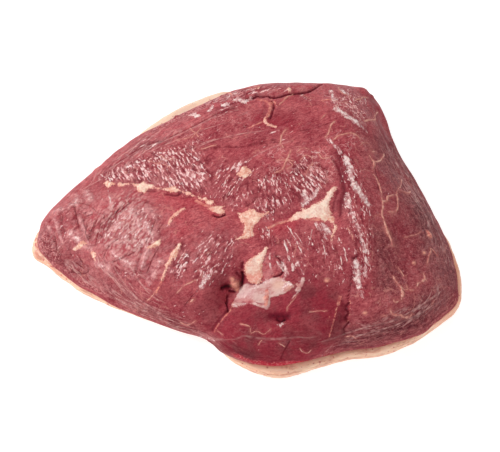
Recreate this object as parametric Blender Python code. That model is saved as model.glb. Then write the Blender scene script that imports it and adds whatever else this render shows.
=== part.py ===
"""Raw picanha: a whole rump cap lying on its fat side, as the butcher sells it.

The thin tip points to -X, the near side is -Y and Z is up. The origin is on the table,
under the middle of the piece. Every size is in metres and every bearing in degrees,
measured from +X towards +Y.
"""

import math

import bmesh
import bpy
import numpy as np

# Layers
FAT_THICKNESS_AT_TIP = 0.0065
FAT_THICKNESS_AT_BASE = 0.0110
TIP_X = -0.130
BASE_X = 0.130
LAYER_GAP = 0.0003

# The muscle's widest outline seen from above, from the thin tip along the near side
MUSCLE_OUTLINE = [
    (-0.1255, -0.0110),
    (-0.1170, -0.0228),
    (-0.1045, -0.0350),
    (-0.0880, -0.0470),
    (-0.0752, -0.0550),
    (-0.0560, -0.0640),
    (-0.0380, -0.0710),
    (-0.0260, -0.0745),
    (-0.0165, -0.0800),
    (-0.0050, -0.0880),
    (0.0170, -0.0920),
    (0.0355, -0.0890),
    (0.0605, -0.0825),
    (0.0820, -0.0795),
    (0.1050, -0.0700),
    (0.1220, -0.0560),
    (0.1275, -0.0440),
    (0.1262, -0.0250),
    (0.1195, -0.0050),
    (0.1075, 0.0225),
    (0.0955, 0.0480),
    (0.0865, 0.0730),
    (0.0765, 0.0875),
    (0.0610, 0.0895),
    (0.0380, 0.0905),
    (0.0105, 0.0903),
    (-0.0120, 0.0862),
    (-0.0405, 0.0738),
    (-0.0700, 0.0570),
    (-0.0930, 0.0360),
    (-0.1120, 0.0175),
    (-0.1235, 0.0020),
]

# How the muscle's side falls from its crown, by bearing: width of the rounded shoulder,
# squareness of that shoulder, height of the widest line, and how far the foot tucks back in
FLANK = [
    (0, 0.032, 2.2, 0.0150, 0.0028),
    (35, 0.030, 2.2, 0.0170, 0.0050),
    (52, 0.022, 2.3, 0.0180, 0.0050),
    (75, 0.014, 2.4, 0.0220, 0.0040),
    (90, 0.014, 2.3, 0.0210, 0.0035),
    (99, 0.017, 2.2, 0.0165, 0.0030),
    (112, 0.024, 2.1, 0.0130, 0.0020),
    (128, 0.032, 2.1, 0.0125, 0.0020),
    (145, 0.036, 2.1, 0.0145, 0.0035),
    (170, 0.028, 2.1, 0.0130, 0.0035),
    (188, 0.022, 2.1, 0.0100, 0.0020),
    (205, 0.024, 2.2, 0.0115, 0.0024),
    (225, 0.026, 2.3, 0.0150, 0.0080),
    (245, 0.022, 2.4, 0.0150, 0.0085),
    (258, 0.015, 2.6, 0.0150, 0.0045),
    (275, 0.013, 2.9, 0.0150, 0.0018),
    (300, 0.014, 2.7, 0.0150, 0.0018),
    (322, 0.020, 2.4, 0.0140, 0.0018),
    (340, 0.028, 2.2, 0.0140, 0.0020),
]

# How far the fat cap reaches past the muscle, by bearing, with less where the muscle hides it
FAT_OVERHANG = [
    (20, -0.0030),
    (45, -0.0025),
    (62, -0.0005),
    (76, 0.0020),
    (86, 0.0045),
    (92, 0.0075),
    (98, 0.0105),
    (106, 0.0108),
    (118, 0.0100),
    (128, 0.0082),
    (136, 0.0055),
    (142, 0.0035),
    (152, -0.0005),
    (174, -0.0010),
    (181, 0.0022),
    (186, 0.0062),
    (190, 0.0038),
    (195, 0.0024),
    (207, 0.0006),
    (216, -0.0035),
    (250, -0.0050),
    (261, -0.0018),
    (272, 0.0010),
    (280, 0.0029),
    (288, 0.0042),
    (297, 0.0028),
    (315, 0.0028),
    (328, 0.0016),
    (336, 0.0030),
    (342, 0.0036),
    (350, 0.0034),
    (356, 0.0038),
    (364, 0.0000),
]
FAT_RIM_ROUNDING = 0.0044
FAT_RIM_SQUARENESS = 2.6

# Height of the muscle's upper face at the places that give it its shape
CROWN = {
    "tip top": (-0.110, -0.010, 0.0220),
    "tip low": (-0.100, -0.028, 0.0215),
    "upper left": (-0.088, 0.014, 0.0275),
    "lobe start": (-0.084, -0.019, 0.0325),
    "lobe top": (-0.056, -0.022, 0.0400),
    "lobe low": (-0.056, -0.050, 0.0370),
    "lobe right": (-0.032, -0.052, 0.0415),
    "upper left mid": (-0.064, 0.031, 0.0320),
    "top left": (-0.034, 0.050, 0.0350),
    "mid left": (-0.018, 0.019, 0.0425),
    "top mid": (0.003, 0.063, 0.0395),
    "middle": (0.012, 0.027, 0.0470),
    "far edge": (0.037, 0.076, 0.0420),
    "far corner": (0.066, 0.070, 0.0415),
    "ridge top": (0.056, 0.045, 0.0490),
    "plateau": (0.039, 0.018, 0.0495),
    "ridge middle": (0.064, 0.006, 0.0515),
    "centre low": (0.038, -0.039, 0.0465),
    "near left": (-0.010, -0.070, 0.0385),
    "near middle": (0.023, -0.074, 0.0390),
    "near right": (0.061, -0.066, 0.0420),
    "right upper": (0.084, 0.030, 0.0405),
    "right middle": (0.092, -0.011, 0.0420),
    "right low": (0.091, -0.045, 0.0400),
    "right edge": (0.108, -0.030, 0.0340),
}

# Folds and swellings of the upper face: height, half width, and the line that each follows
FOLDS = {
    "seam": (
        -0.0030,
        0.0070,
        [(-0.088, 0.019), (-0.048, 0.012), (-0.022, 0.001), (0.003, -0.013), (0.018, -0.016)],
    ),
    "seam end": (-0.0018, 0.0065, [(0.026, -0.013), (0.040, -0.008), (0.052, -0.010)]),
    "ridge": (0.0022, 0.0085, [(0.058, 0.060), (0.065, 0.046), (0.063, 0.020), (0.066, 0.004), (0.070, -0.034)]),
    "valley inside the ridge": (-0.0014, 0.0090, [(0.050, 0.034), (0.0515, 0.014), (0.054, -0.016)]),
    "crease under the far roll": (-0.0034, 0.0045, [(-0.006, 0.069), (0.022, 0.071), (0.041, 0.075), (0.052, 0.083)]),
    "cleft by the left lobe": (
        -0.0050,
        0.0070,
        [(-0.004, -0.056), (-0.012, -0.067), (-0.020, -0.077), (-0.027, -0.086)],
    ),
    "pocket": (-0.0060, 0.0130, [(-0.002, -0.053), (0.014, -0.050)]),
    "hollow beside the pocket": (-0.0022, 0.0060, [(-0.012, -0.053), (-0.009, -0.056)]),
    "right cleft": (-0.0030, 0.0055, [(0.0585, -0.056), (0.0585, -0.078)]),
    "lump by the right cleft": (0.0016, 0.0070, [(0.068, -0.062), (0.070, -0.056)]),
    "tip dip": (-0.0015, 0.0090, [(-0.092, 0.004), (-0.094, -0.016)]),
}

# Fineness of the meshes
MUSCLE_CELLS_ACROSS = 46
MUSCLE_CELLS_DOWN_SIDE = 7
FAT_SEGMENTS = 184
FAT_RIM_ROWS = 8

# Colour and roughness of each layer
MUSCLE_COLOUR = (0.330, 0.085, 0.092)
MUSCLE_ROUGHNESS = 0.42
FAT_COLOUR = (0.730, 0.440, 0.340)
FAT_ROUGHNESS = 0.50


def smooth_line(points, closed=False, steps=10):
    """A Catmull-Rom curve through the points, as an array of places."""
    corners = np.array(points)
    if closed:
        corners = np.concatenate([corners[-1:], corners, corners[:2]])
    else:
        corners = np.concatenate([corners[:1], corners, corners[-1:]])
    t = np.linspace(0.0, 1.0, steps, endpoint=False)[:, None]
    pieces = []
    for before, start, end, after in zip(corners, corners[1:], corners[2:], corners[3:]):
        bend = 2 * before - 5 * start + 4 * end - after
        twist = 3 * start - before - 3 * end + after
        pieces.append(start + 0.5 * t * (end - before + t * (bend + t * twist)))
    if not closed:
        pieces.append(corners[-2:-1])
    return np.concatenate(pieces)


def bearing_of(x, y):
    return np.degrees(np.arctan2(y, x)) % 360


def reach(bearing):
    """The muscle's reach from the origin, at its widest, on each bearing."""
    rim = smooth_line(MUSCLE_OUTLINE, closed=True)
    return np.interp(bearing, bearing_of(*rim.T), np.hypot(*rim.T), period=360)


def around(table, column, bearing, blur=6):
    """A column of a table that goes by bearing, read smoothly between its rows."""
    rows = np.array(table)
    offsets = np.linspace(-blur, blur, 7)
    return np.mean([np.interp(bearing + o, rows[:, 0], rows[:, column], period=360) for o in offsets], axis=0)


def distance_to(line, x, y):
    """The distance in plan from each place to a line of points."""
    nearest = np.full(np.shape(x), np.inf)
    for (ax, ay), (bx, by) in zip(line[:-1], line[1:]):
        along = ((x - ax) * (bx - ax) + (y - ay) * (by - ay)) / ((bx - ax) ** 2 + (by - ay) ** 2)
        along = np.clip(along, 0, 1)
        nearest = np.minimum(nearest, np.hypot(x - ax - along * (bx - ax), y - ay - along * (by - ay)))
    return nearest


def thin_plate(distance):
    return distance**2 * np.log(np.maximum(distance, 1e-9))


def crown_height(x, y):
    """The upper face as a thin plate bent through the crown's places, with its folds pressed in."""
    places = np.array(list(CROWN.values()))
    count = len(places)
    apart = np.hypot(places[:, None, 0] - places[:, 0], places[:, None, 1] - places[:, 1])
    flat = np.column_stack([np.ones(count), places[:, :2]])
    system = np.block([[thin_plate(apart), flat], [flat.T, np.zeros((3, 3))]])
    weights = np.linalg.solve(system, np.append(places[:, 2], np.zeros(3)))
    away = np.hypot(x[:, None] - places[:, 0], y[:, None] - places[:, 1])
    height = thin_plate(away) @ weights[:count] + weights[count] + weights[count + 1] * x + weights[count + 2] * y
    for rise, half_width, line in FOLDS.values():
        height += rise * np.exp(-((distance_to(smooth_line(line), x, y) / half_width) ** 2))
    return height


def fat_thickness(x):
    share = (x - TIP_X) / (BASE_X - TIP_X)
    return FAT_THICKNESS_AT_TIP + share * (FAT_THICKNESS_AT_BASE - FAT_THICKNESS_AT_TIP)


def muscle_places(square, level):
    """Places on the muscle, from places on a cube's top (level 1) and its side (down to level 0)."""
    across, along = square.T
    disc_x = across * np.sqrt(1 - along**2 / 2)
    disc_y = along * np.sqrt(1 - across**2 / 2)
    share = np.minimum(np.hypot(disc_x, disc_y), 1.0)
    bearing = bearing_of(disc_x, disc_y)
    edge = reach(bearing)
    shoulder, squareness, belly, tuck = (around(FLANK, column, bearing) for column in (1, 2, 3, 4))

    # On the top the turn goes from 0 at the shoulder's inner edge to a right angle at the widest line
    inner = 1 - shoulder / edge
    turn = np.clip((share - inner) / (1 - inner), 0, 1) * math.pi / 2
    round_off = (np.cos(turn) ** squareness + np.sin(turn) ** squareness) ** (-1 / squareness)
    inward = np.where(share > inner, shoulder * (1 - np.sin(turn) * round_off), edge * (1 - share))
    rise = np.where(share > inner, np.cos(turn) * round_off, 1.0)

    # Below the widest line the side tucks in to the foot
    under = (1 - level) * math.pi / 2
    inward = inward + tuck * (1 - np.cos(under))
    x = (edge - inward) * np.cos(np.radians(bearing))
    y = (edge - inward) * np.sin(np.radians(bearing))
    foot = fat_thickness(x) + LAYER_GAP
    upper = belly + (crown_height(x, y) - belly) * rise
    lower = foot + (belly - foot) * (1 - np.sin(under))
    return np.column_stack([x, y, np.where(level < 1, lower, upper)])


def fat_places(bearing, level):
    """Places on the fat cap's rim: level 0 is the edge of its flat underside, level 1 of its flat top."""
    turn = (level - 0.5) * math.pi
    round_off = (np.cos(turn) ** FAT_RIM_SQUARENESS + np.abs(np.sin(turn)) ** FAT_RIM_SQUARENESS) ** (
        -1 / FAT_RIM_SQUARENESS
    )
    edge = reach(bearing) + around(FAT_OVERHANG, 1, bearing, blur=3)
    radius = edge - FAT_RIM_ROUNDING * (1 - np.cos(turn) * round_off)
    x = radius * np.cos(np.radians(bearing))
    y = radius * np.sin(np.radians(bearing))
    height = fat_thickness(x) * (1 + np.sin(turn) * round_off) / 2
    return np.column_stack([x, y, height])


def coordinates(mesh):
    return np.array([vertex.co for vertex in mesh.verts])


def cut_along(mesh, axis, cells):
    """Cuts every edge that runs the whole length of the shape along an axis into equal cells."""
    long_edges = [edge for edge in mesh.edges if abs(edge.verts[0].co[axis] - edge.verts[1].co[axis]) > 1.5]
    bmesh.ops.subdivide_edges(mesh, edges=long_edges, cuts=cells - 1)


def muscle_mesh():
    mesh = bmesh.new()
    bmesh.ops.create_cube(mesh, size=2)
    cut_along(mesh, 0, MUSCLE_CELLS_ACROSS)
    cut_along(mesh, 1, MUSCLE_CELLS_ACROSS)
    cut_along(mesh, 2, MUSCLE_CELLS_DOWN_SIDE)
    underside = [face for face in mesh.faces if face.normal.z < -0.5]
    bmesh.ops.dissolve_faces(mesh, faces=underside)
    cube = coordinates(mesh)
    for vertex, place in zip(mesh.verts, muscle_places(cube[:, :2], (cube[:, 2] + 1) / 2)):
        vertex.co = place
    return mesh


def fat_mesh():
    mesh = bmesh.new()
    bmesh.ops.create_cone(mesh, cap_ends=True, segments=FAT_SEGMENTS, radius1=1, radius2=1, depth=2)
    cut_along(mesh, 2, FAT_RIM_ROWS)
    drum = coordinates(mesh)
    bearing = bearing_of(drum[:, 0], drum[:, 1])
    for vertex, place in zip(mesh.verts, fat_places(bearing, (drum[:, 2] + 1) / 2)):
        vertex.co = place
    return mesh


def plain_material(name, colour, roughness):
    material = bpy.data.materials.new(name)
    material.use_nodes = True
    shader = material.node_tree.nodes["Principled BSDF"]
    shader.inputs["Base Color"].default_value = (*colour, 1)
    shader.inputs["Roughness"].default_value = roughness
    shader.inputs["Metallic"].default_value = 0
    return material


def add_piece(name, mesh, material, collection):
    data = bpy.data.meshes.new(name)
    mesh.to_mesh(data)
    mesh.free()
    data.shade_smooth()
    data.materials.append(material)
    collection.objects.link(bpy.data.objects.new(name, data))


def clear_scene():
    for thing in list(bpy.data.objects):
        bpy.data.objects.remove(thing, do_unlink=True)


def main():
    clear_scene()
    picanha = bpy.data.collections.new("Raw picanha")
    bpy.context.scene.collection.children.link(picanha)
    add_piece("lean", muscle_mesh(), plain_material("Raw lean", MUSCLE_COLOUR, MUSCLE_ROUGHNESS), picanha)
    add_piece("fat_cap", fat_mesh(), plain_material("Beef fat", FAT_COLOUR, FAT_ROUGHNESS), picanha)


main()
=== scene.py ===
import math
from functools import cached_property

import bmesh
import bpy
import numpy as np
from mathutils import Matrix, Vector, noise
from mathutils.bvhtree import BVHTree


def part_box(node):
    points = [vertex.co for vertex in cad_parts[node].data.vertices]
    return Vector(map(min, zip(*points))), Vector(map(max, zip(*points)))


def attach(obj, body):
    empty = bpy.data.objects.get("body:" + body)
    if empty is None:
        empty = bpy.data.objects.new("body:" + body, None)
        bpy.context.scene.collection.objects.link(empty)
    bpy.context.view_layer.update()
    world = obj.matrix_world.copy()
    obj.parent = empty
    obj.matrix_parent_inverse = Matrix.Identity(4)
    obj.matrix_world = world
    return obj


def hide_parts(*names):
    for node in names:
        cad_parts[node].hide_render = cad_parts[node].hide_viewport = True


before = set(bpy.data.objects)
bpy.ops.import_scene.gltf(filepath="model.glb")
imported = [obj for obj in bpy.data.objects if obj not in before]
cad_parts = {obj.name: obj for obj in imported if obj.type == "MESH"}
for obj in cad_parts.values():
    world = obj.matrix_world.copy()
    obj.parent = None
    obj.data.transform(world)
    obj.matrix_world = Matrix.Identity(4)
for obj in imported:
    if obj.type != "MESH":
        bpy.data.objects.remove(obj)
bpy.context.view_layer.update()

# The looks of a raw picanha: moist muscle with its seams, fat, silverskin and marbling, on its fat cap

# The photograph's frame and the camera that took it: pixels, metres, degrees and millimetres of film
PHOTO_WIDTH = 500
PHOTO_CENTRE = (250, 226)
PIXEL = 0.000605
CAMERA_TARGET = Vector((0.00305, -0.00435, 0.020))
CAMERA_ELEVATION = 65
CAMERA_DISTANCE = 1.176
CAMERA_NEAREST = 0.01
SENSOR_WIDTH = 36

# Lights: name, direction, distance and size in metres, watts
LIGHTS = (
    ("Key", (-0.72, 0.10, 0.72), 1.3, 0.28, 9),
    ("Top", (0.0, 0.35, 1.0), 1.5, 0.9, 3),
    ("Front", (-0.1, -0.9, 0.45), 1.6, 0.9, 3),
)
WORLD_STRENGTH = 0.50
FLOOR_HALF_WIDTH = 3.0
FLOOR_GREY = 0.55
FLOOR_GLOW = 0.72
WHITE = (1, 1, 1, 1)

# The skins are drawn by rays from a flat core inside each solid: its inset, height and shoulder in metres
MUSCLE_CELLS = 286
MUSCLE_FOOT_ROWS = 9
MUSCLE_CORE_INSET = 0.026
MUSCLE_CORE_HEIGHT = 0.0155
MUSCLE_SHOULDER_ARC = 0.040
MUSCLE_LAST_TURN = 116
MUSCLE_REACH_HEIGHTS = (0.001, 0.022)
FAT_CELLS = 150
FAT_RIM_ROWS = 26
FAT_LEDGE_ROWS = 14
FAT_CORE_INSET = 0.006
FAT_CORE_HEIGHT = 0.0035
FAT_SHOULDER_ARC = 0.010
FAT_LEDGE_WIDTH = 0.016
FAT_REACH_HEIGHTS = (0.002, 0.006)
REACH_RAYS = 9
FACET_ANGLE = 50
MERGE_WITHIN = 1e-6

# Marks: how far from a mark its distance is measured, and the distance that stands for further away
MARK_REACH = 0.045
LINE_REACH = 0.006
FAR_OUTSIDE = -0.02
FAR_ACROSS = 9.0
MILLIMETRES = 1000

# A point that faces down by more than this is outside every outline
FACES_UP = -0.05

# The least squared length to divide by, and the least rise of an outline's edge that counts as crossed
NO_LENGTH = 1e-14
LEVEL_WITHIN = 1e-12


def photo_up():
    elevation = math.radians(CAMERA_ELEVATION)
    return Vector((0, math.sin(elevation), math.cos(elevation)))


def camera_place():
    elevation = math.radians(CAMERA_ELEVATION)
    return CAMERA_TARGET + CAMERA_DISTANCE * Vector((0, -math.cos(elevation), math.sin(elevation)))


def spot(tree, pixel_x, pixel_y):
    """The place on a surface that the photograph shows at a pixel."""
    aim = CAMERA_TARGET + Vector(((pixel_x - PHOTO_CENTRE[0]) * PIXEL, 0, 0))
    aim = aim + photo_up() * (PHOTO_CENTRE[1] - pixel_y) * PIXEL
    eye = camera_place()
    place = tree.ray_cast(eye, (aim - eye).normalized())[0]
    if place is None:
        place = tree.find_nearest(aim)[0]
    return np.array(place)


def smooth_line(points, steps=6):
    """A Catmull-Rom curve through the points, as an array of places. Two points stay as they are."""
    if len(points) < 3:
        return points
    corners = np.concatenate([2 * points[:1] - points[1:2], points, 2 * points[-1:] - points[-2:-1]])
    t = np.linspace(0.0, 1.0, steps, endpoint=False)[:, None]
    pieces = []
    for before, start, end, after in zip(corners, corners[1:], corners[2:], corners[3:]):
        bend = 2 * before - 5 * start + 4 * end - after
        twist = 3 * start - before - 3 * end + after
        pieces.append(start + 0.5 * t * (end - before + t * (bend + t * twist)))
    return np.concatenate(pieces + [points[-1:]])


def smooth_step(low, high, value):
    share = np.clip((value - low) / (high - low), 0, 1)
    return share * share * (3 - 2 * share)


def bell(distance, spread, power=2):
    """A share that is 1 at a mark and fades over a distance."""
    return np.exp(-((distance / spread) ** power))


def noise_at(places, size, seed=0.0):
    """Perlin noise of about the given grain size at each place, from -1 to 1."""
    return np.array([noise.noise(place) for place in (places / size + seed).tolist()])


def layered_noise(places, layers, base=0):
    """A sum of noises on a base: the strength, grain size and seed of each."""
    return sum((strength * noise_at(places, size, seed) for strength, size, seed in layers), base)


# The frame's solids, rounded over so that no facet shows


def smooth_tree(node, rounds):
    """A search tree of a CAD node's surface with its facets rounded over."""
    mesh = bmesh.new()
    mesh.from_mesh(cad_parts[node].data)
    bmesh.ops.remove_doubles(mesh, verts=mesh.verts, dist=MERGE_WITHIN)
    wide = math.radians(FACET_ANGLE)
    bmesh.ops.join_triangles(mesh, faces=mesh.faces, angle_face_threshold=wide, angle_shape_threshold=wide)
    data = bpy.data.meshes.new(node + "_rounded")
    mesh.to_mesh(data)
    mesh.free()
    guide = placed(data.name, data)
    rounding = guide.modifiers.new("Rounding", "SUBSURF")
    rounding.levels = rounding.render_levels = rounds
    tree = BVHTree.FromObject(guide, bpy.context.evaluated_depsgraph_get())
    bpy.data.objects.remove(guide)
    bpy.data.meshes.remove(data)
    return tree


def placed(name, data):
    """A new object in the scene for a mesh, light or camera."""
    thing = bpy.data.objects.new(name, data)
    bpy.context.scene.collection.objects.link(thing)
    return thing


def reach_by_bearing(tree, lowest, highest):
    """The furthest that the solid reaches on each degree of bearing, between two heights."""
    heights = np.linspace(lowest, highest, REACH_RAYS)
    furthest = []
    for degree in range(360):
        out = Vector((math.cos(math.radians(degree)), math.sin(math.radians(degree)), 0))
        furthest.append(max(tree.ray_cast(Vector((0, 0, height)), out)[3] or 0 for height in heights))
    return np.array(furthest)


def shell_faces(cells, rows):
    """The faces of a square grid, the rows that hang from its edge, and a fan that closes them."""
    grid = np.arange((cells + 1) ** 2).reshape(cells + 1, cells + 1)
    top = np.stack([grid[:-1, :-1], grid[:-1, 1:], grid[1:, 1:], grid[1:, :-1]], -1).reshape(-1, 4)
    edge = np.concatenate([grid[0, :-1], grid[:-1, -1], grid[-1, :0:-1], grid[:0:-1, 0]])
    rings = [edge] + [grid.size + row * edge.size + np.arange(edge.size) for row in range(rows)]
    faces = top.tolist()
    for upper, lower in zip(rings, rings[1:]):
        faces += np.stack([upper, lower, np.roll(lower, -1), np.roll(upper, -1)], -1).tolist()
    hub = grid.size + rows * edge.size
    last = rings[-1]
    faces += [[hub, after, before] for before, after in zip(last.tolist(), np.roll(last, -1).tolist())]
    return edge, faces


def disc_places(cells):
    """A square grid drawn into a round disc: share of the radius, and bearing in degrees."""
    line = np.linspace(-1, 1, cells + 1)
    across, along = np.meshgrid(line, line)
    disc_x = (across * np.sqrt(1 - along**2 / 2)).ravel()
    disc_y = (along * np.sqrt(1 - across**2 / 2)).ravel()
    return np.minimum(np.hypot(disc_x, disc_y), 1), np.degrees(np.arctan2(disc_y, disc_x)) % 360


def probe(tree, radius, bearing, height, turn):
    """Where rays from inside the solid meet its surface. A turn of 0 looks up, 90 outwards and 180 down."""
    places = []
    for r, b, t in zip(radius, np.radians(bearing), np.radians(turn)):
        out_x, out_y = math.cos(b), math.sin(b)
        start = Vector((r * out_x, r * out_y, height))
        aim = Vector((math.sin(t) * out_x, math.sin(t) * out_y, math.cos(t)))
        place = tree.ray_cast(start, aim)[0]
        places.append(place if place is not None else start)
    return np.array(places)


def wrapped_skin(name, tree, reach, cells, inset, height, arc, look, rows):
    """A fine closed skin drawn over a rounded solid.

    look is 0 for a grid on the upper face and 180 for one on the underside. rows lists, for each
    ring past the widest line, how far its rays start inside the rim and their turn.
    """
    edge, faces = shell_faces(cells, len(rows))
    share, bearing = disc_places(cells)
    rim = np.interp(bearing, np.arange(360), reach, period=360)
    core = rim - inset
    flat_share = core / (core + arc)
    radius = np.minimum(share / flat_share, 1) * core
    turn = np.clip((share - flat_share) / (1 - flat_share), 0, 1) * 90
    turn = np.abs(look - turn)
    rim_bearing = bearing[edge]
    rim_reach = rim[edge]
    for row_inset, row_turn in rows:
        radius = np.append(radius, rim_reach - row_inset)
        bearing = np.append(bearing, rim_bearing)
        turn = np.append(turn, np.full(edge.size, row_turn))
    places = probe(tree, radius, bearing, height, turn)
    places = np.vstack([places, places[-edge.size :].mean(axis=0)])
    if look:
        faces = [face[::-1] for face in faces]
    data = bpy.data.meshes.new(name)
    data.from_pydata(places.tolist(), [], faces)
    data.shade_smooth()
    return placed(name, data)


def vectors_of(skin, kind):
    """The place of each point of a skin for the kind co, or its normal for the kind normal."""
    flat = np.empty(len(skin.data.vertices) * 3, np.float32)
    skin.data.vertices.foreach_get(kind, flat)
    return flat.reshape(-1, 3).astype(float)


def move_out(skin, rise):
    """Moves each point along its normal by its own rise."""
    moved = vectors_of(skin, "co") + vectors_of(skin, "normal") * rise[:, None]
    skin.data.vertices.foreach_set("co", moved.astype(np.float32).ravel())
    skin.data.update()


def keep_value(skin, name, values):
    """Stores a value for each point under a name that the materials and the tubes read."""
    attribute = skin.data.attributes.new(name, "FLOAT", "POINT")
    attribute.data.foreach_set("value", np.asarray(values, np.float32))


def gap_to(spots, start, end):
    """From the nearest place on a straight stretch of a line to each spot."""
    step = end - start
    along = np.clip((spots - start) @ step / max(step @ step, NO_LENGTH), 0, 1)
    return spots - start - along[:, None] * step


class Marks:
    """Lays the photograph's pixel marks on the muscle and measures how far its points are from them."""

    def __init__(self, tree, places, normals):
        self.tree = tree
        self.places = places
        self.upward = normals[:, 2] > FACES_UP

    def on_surface(self, pixels):
        return np.array([spot(self.tree, x, y) for x, y in pixels])

    def close_to(self, line, reach):
        """Numbers of the points in the box round a line."""
        above = self.places > line.min(axis=0) - reach
        below = self.places < line.max(axis=0) + reach
        return np.flatnonzero(np.all(above & below, axis=1))

    def from_segments(self, line):
        """Distance in metres from each point to a line of places."""
        near = np.full(len(self.places), np.inf)
        close = self.close_to(line, MARK_REACH)
        spots = self.places[close]
        for start, end in zip(line[:-1], line[1:]):
            near[close] = np.minimum(near[close], np.linalg.norm(gap_to(spots, start, end), axis=1))
        return near

    def from_line(self, pixels):
        return self.from_segments(smooth_line(self.on_surface(pixels)))

    def from_spot(self, pixel):
        return np.linalg.norm(self.places - spot(self.tree, *pixel), axis=1)

    def across(self, lines):
        """How far each point is to the side of its nearest line: below zero on one side, in half widths."""
        nearest = np.full(len(self.places), np.inf)
        value = np.full(len(self.places), FAR_ACROSS)
        for half_width, pixels in lines:
            line = smooth_line(self.on_surface(pixels))
            close = self.close_to(line, LINE_REACH)
            spots = self.places[close]
            for start, end in zip(line[:-1], line[1:]):
                step = end - start
                gap = gap_to(spots, start, end)
                distance = np.linalg.norm(gap, axis=1)
                side = np.where(step[0] * gap[:, 1] > step[1] * gap[:, 0], 1.0, -1.0)
                better = distance < nearest[close]
                nearest[close[better]] = distance[better]
                value[close[better]] = side[better] * distance[better] / (half_width * PIXEL)
        return value

    def inside(self, pixels):
        """Signed distance to an outline: above zero inside it."""
        outline = self.on_surface(pixels)
        outline = np.vstack([outline, outline[:1]])
        distance = self.from_segments(outline)
        x, y = self.places[:, 0], self.places[:, 1]
        within = np.zeros(len(x), bool)
        for (ax, ay, _), (bx, by, _) in zip(outline[:-1], outline[1:]):
            crosses = (ay > y) != (by > y)
            if abs(by - ay) > LEVEL_WITHIN:
                within ^= crosses & (x < ax + (y - ay) * (bx - ax) / (by - ay))
        return np.where(within & self.upward, distance, -distance)

    def depth(self, lines, outlines=()):
        """How deep each point lies in any of the lines or outlines: below zero outside them."""
        deepest = np.full(len(self.places), FAR_OUTSIDE)
        for half_width, pixels in lines:
            deepest = np.maximum(deepest, half_width * PIXEL - self.from_line(pixels))
        for pixels in outlines:
            deepest = np.maximum(deepest, self.inside(pixels))
        return deepest

    def shade(self, lines):
        """A share that fades away from each line: its strength and how far it fades."""
        share = np.zeros(len(self.places))
        for strength, spread, pixels in lines:
            share = np.maximum(share, strength * bell(self.from_line(pixels), spread))
        return share

    def zone(self, outlines):
        """How far inside any of the outlines each point lies, from 0 to 1, times the zone's strength."""
        share = np.zeros(len(self.places))
        for strength, soft, pixels in outlines:
            inside = smooth_step(-soft * PIXEL, soft * PIXEL, self.inside(pixels))
            share = np.maximum(share, strength * inside)
        return share



# White fat that lies on the muscle: outlines in pixels
FAT_PATCHES = [
    [(103, 183), (107, 181), (113, 182), (117, 184), (112, 186), (108, 188)],
    [(117, 184), (121, 182), (124, 184), (127, 183), (124, 186), (119, 187)],
    [
        (131, 183), (138, 184), (143, 182), (148, 184), (154, 185), (153, 189), (148, 189), (145, 193),
        (139, 193), (136, 188),
    ],
    [(161, 189), (168, 188), (173, 186), (179, 189), (178, 192), (173, 193), (167, 192)],
    [(184, 192), (188, 191), (192, 193), (190, 195), (186, 195)],
    [(194, 196), (199, 197), (205, 200), (200, 200)],
    [(203, 198), (206, 197), (208, 200), (213, 200), (214, 203), (210, 206), (206, 203)],
    [(206, 207), (211, 208), (217, 206), (225, 206), (222, 209), (226, 211), (222, 214), (214, 213)],
    [
        (237, 213), (245, 212), (249, 209), (254, 209), (257, 213), (263, 213), (270, 211), (266, 215),
        (262, 217), (258, 222), (254, 225), (253, 231), (254, 236), (244, 239), (235, 240), (241, 236),
        (244, 233), (244, 225), (241, 221), (239, 217),
    ],
    [
        (286, 222), (291, 217), (297, 212), (303, 212), (299, 208), (307, 209), (312, 205), (318, 203),
        (324, 198), (329, 190), (334, 186), (337, 187), (334, 192), (332, 198), (329, 202), (329, 208),
        (332, 213), (331, 216), (335, 217), (334, 223), (331, 221), (323, 221), (316, 218), (308, 219),
        (300, 219), (293, 221),
    ],
    [
        (329, 215), (334, 219), (337, 228), (335, 232), (332, 241), (330, 241), (332, 233), (334, 227),
        (331, 220),
    ],
    [
        (236, 175), (240, 171), (242, 167), (246, 166), (249, 169), (253, 173), (249, 173), (251, 177),
        (248, 176), (244, 178), (240, 177), (238, 175),
    ],
    [
        (244, 265), (247, 261), (251, 258), (257, 255), (262, 251), (265, 247), (268, 248), (266, 254),
        (264, 259), (262, 267), (263, 277), (259, 284), (253, 284), (248, 281), (245, 274),
    ],
    [(147, 248), (152, 244), (156, 241), (161, 239), (161, 244), (157, 247), (152, 249), (148, 250)],
    [
        (178, 243), (182, 244), (179, 251), (176, 257), (171, 262), (167, 268), (165, 266), (168, 259),
        (171, 253), (175, 248),
    ],
    [(72, 249), (77, 245), (84, 240), (86, 243), (82, 247), (76, 251)],
    [(90, 252), (94, 251), (96, 255), (95, 261), (92, 257)],
    [(287, 90), (288, 87), (291, 88), (291, 92), (288, 92)],
    [(253, 89), (260, 88), (258, 90)],
]

# White fat in narrow lines: half width in pixels and line
FAT_LINES = [
    (1.6, [(169, 224), (172, 218), (178, 213), (184, 209)]),
    (0.9, [(126, 184), (131, 184)]),
    (0.9, [(154, 187), (161, 189)]),
    (0.8, [(179, 190), (184, 192)]),
    (0.8, [(190, 194), (195, 197)]),
    (0.8, [(205, 200), (208, 205)]),
    (1.4, [(168, 265), (165, 272), (162, 280)]),
    (1.3, [(265, 118), (265, 122), (269, 125), (276, 127)]),
]

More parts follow.
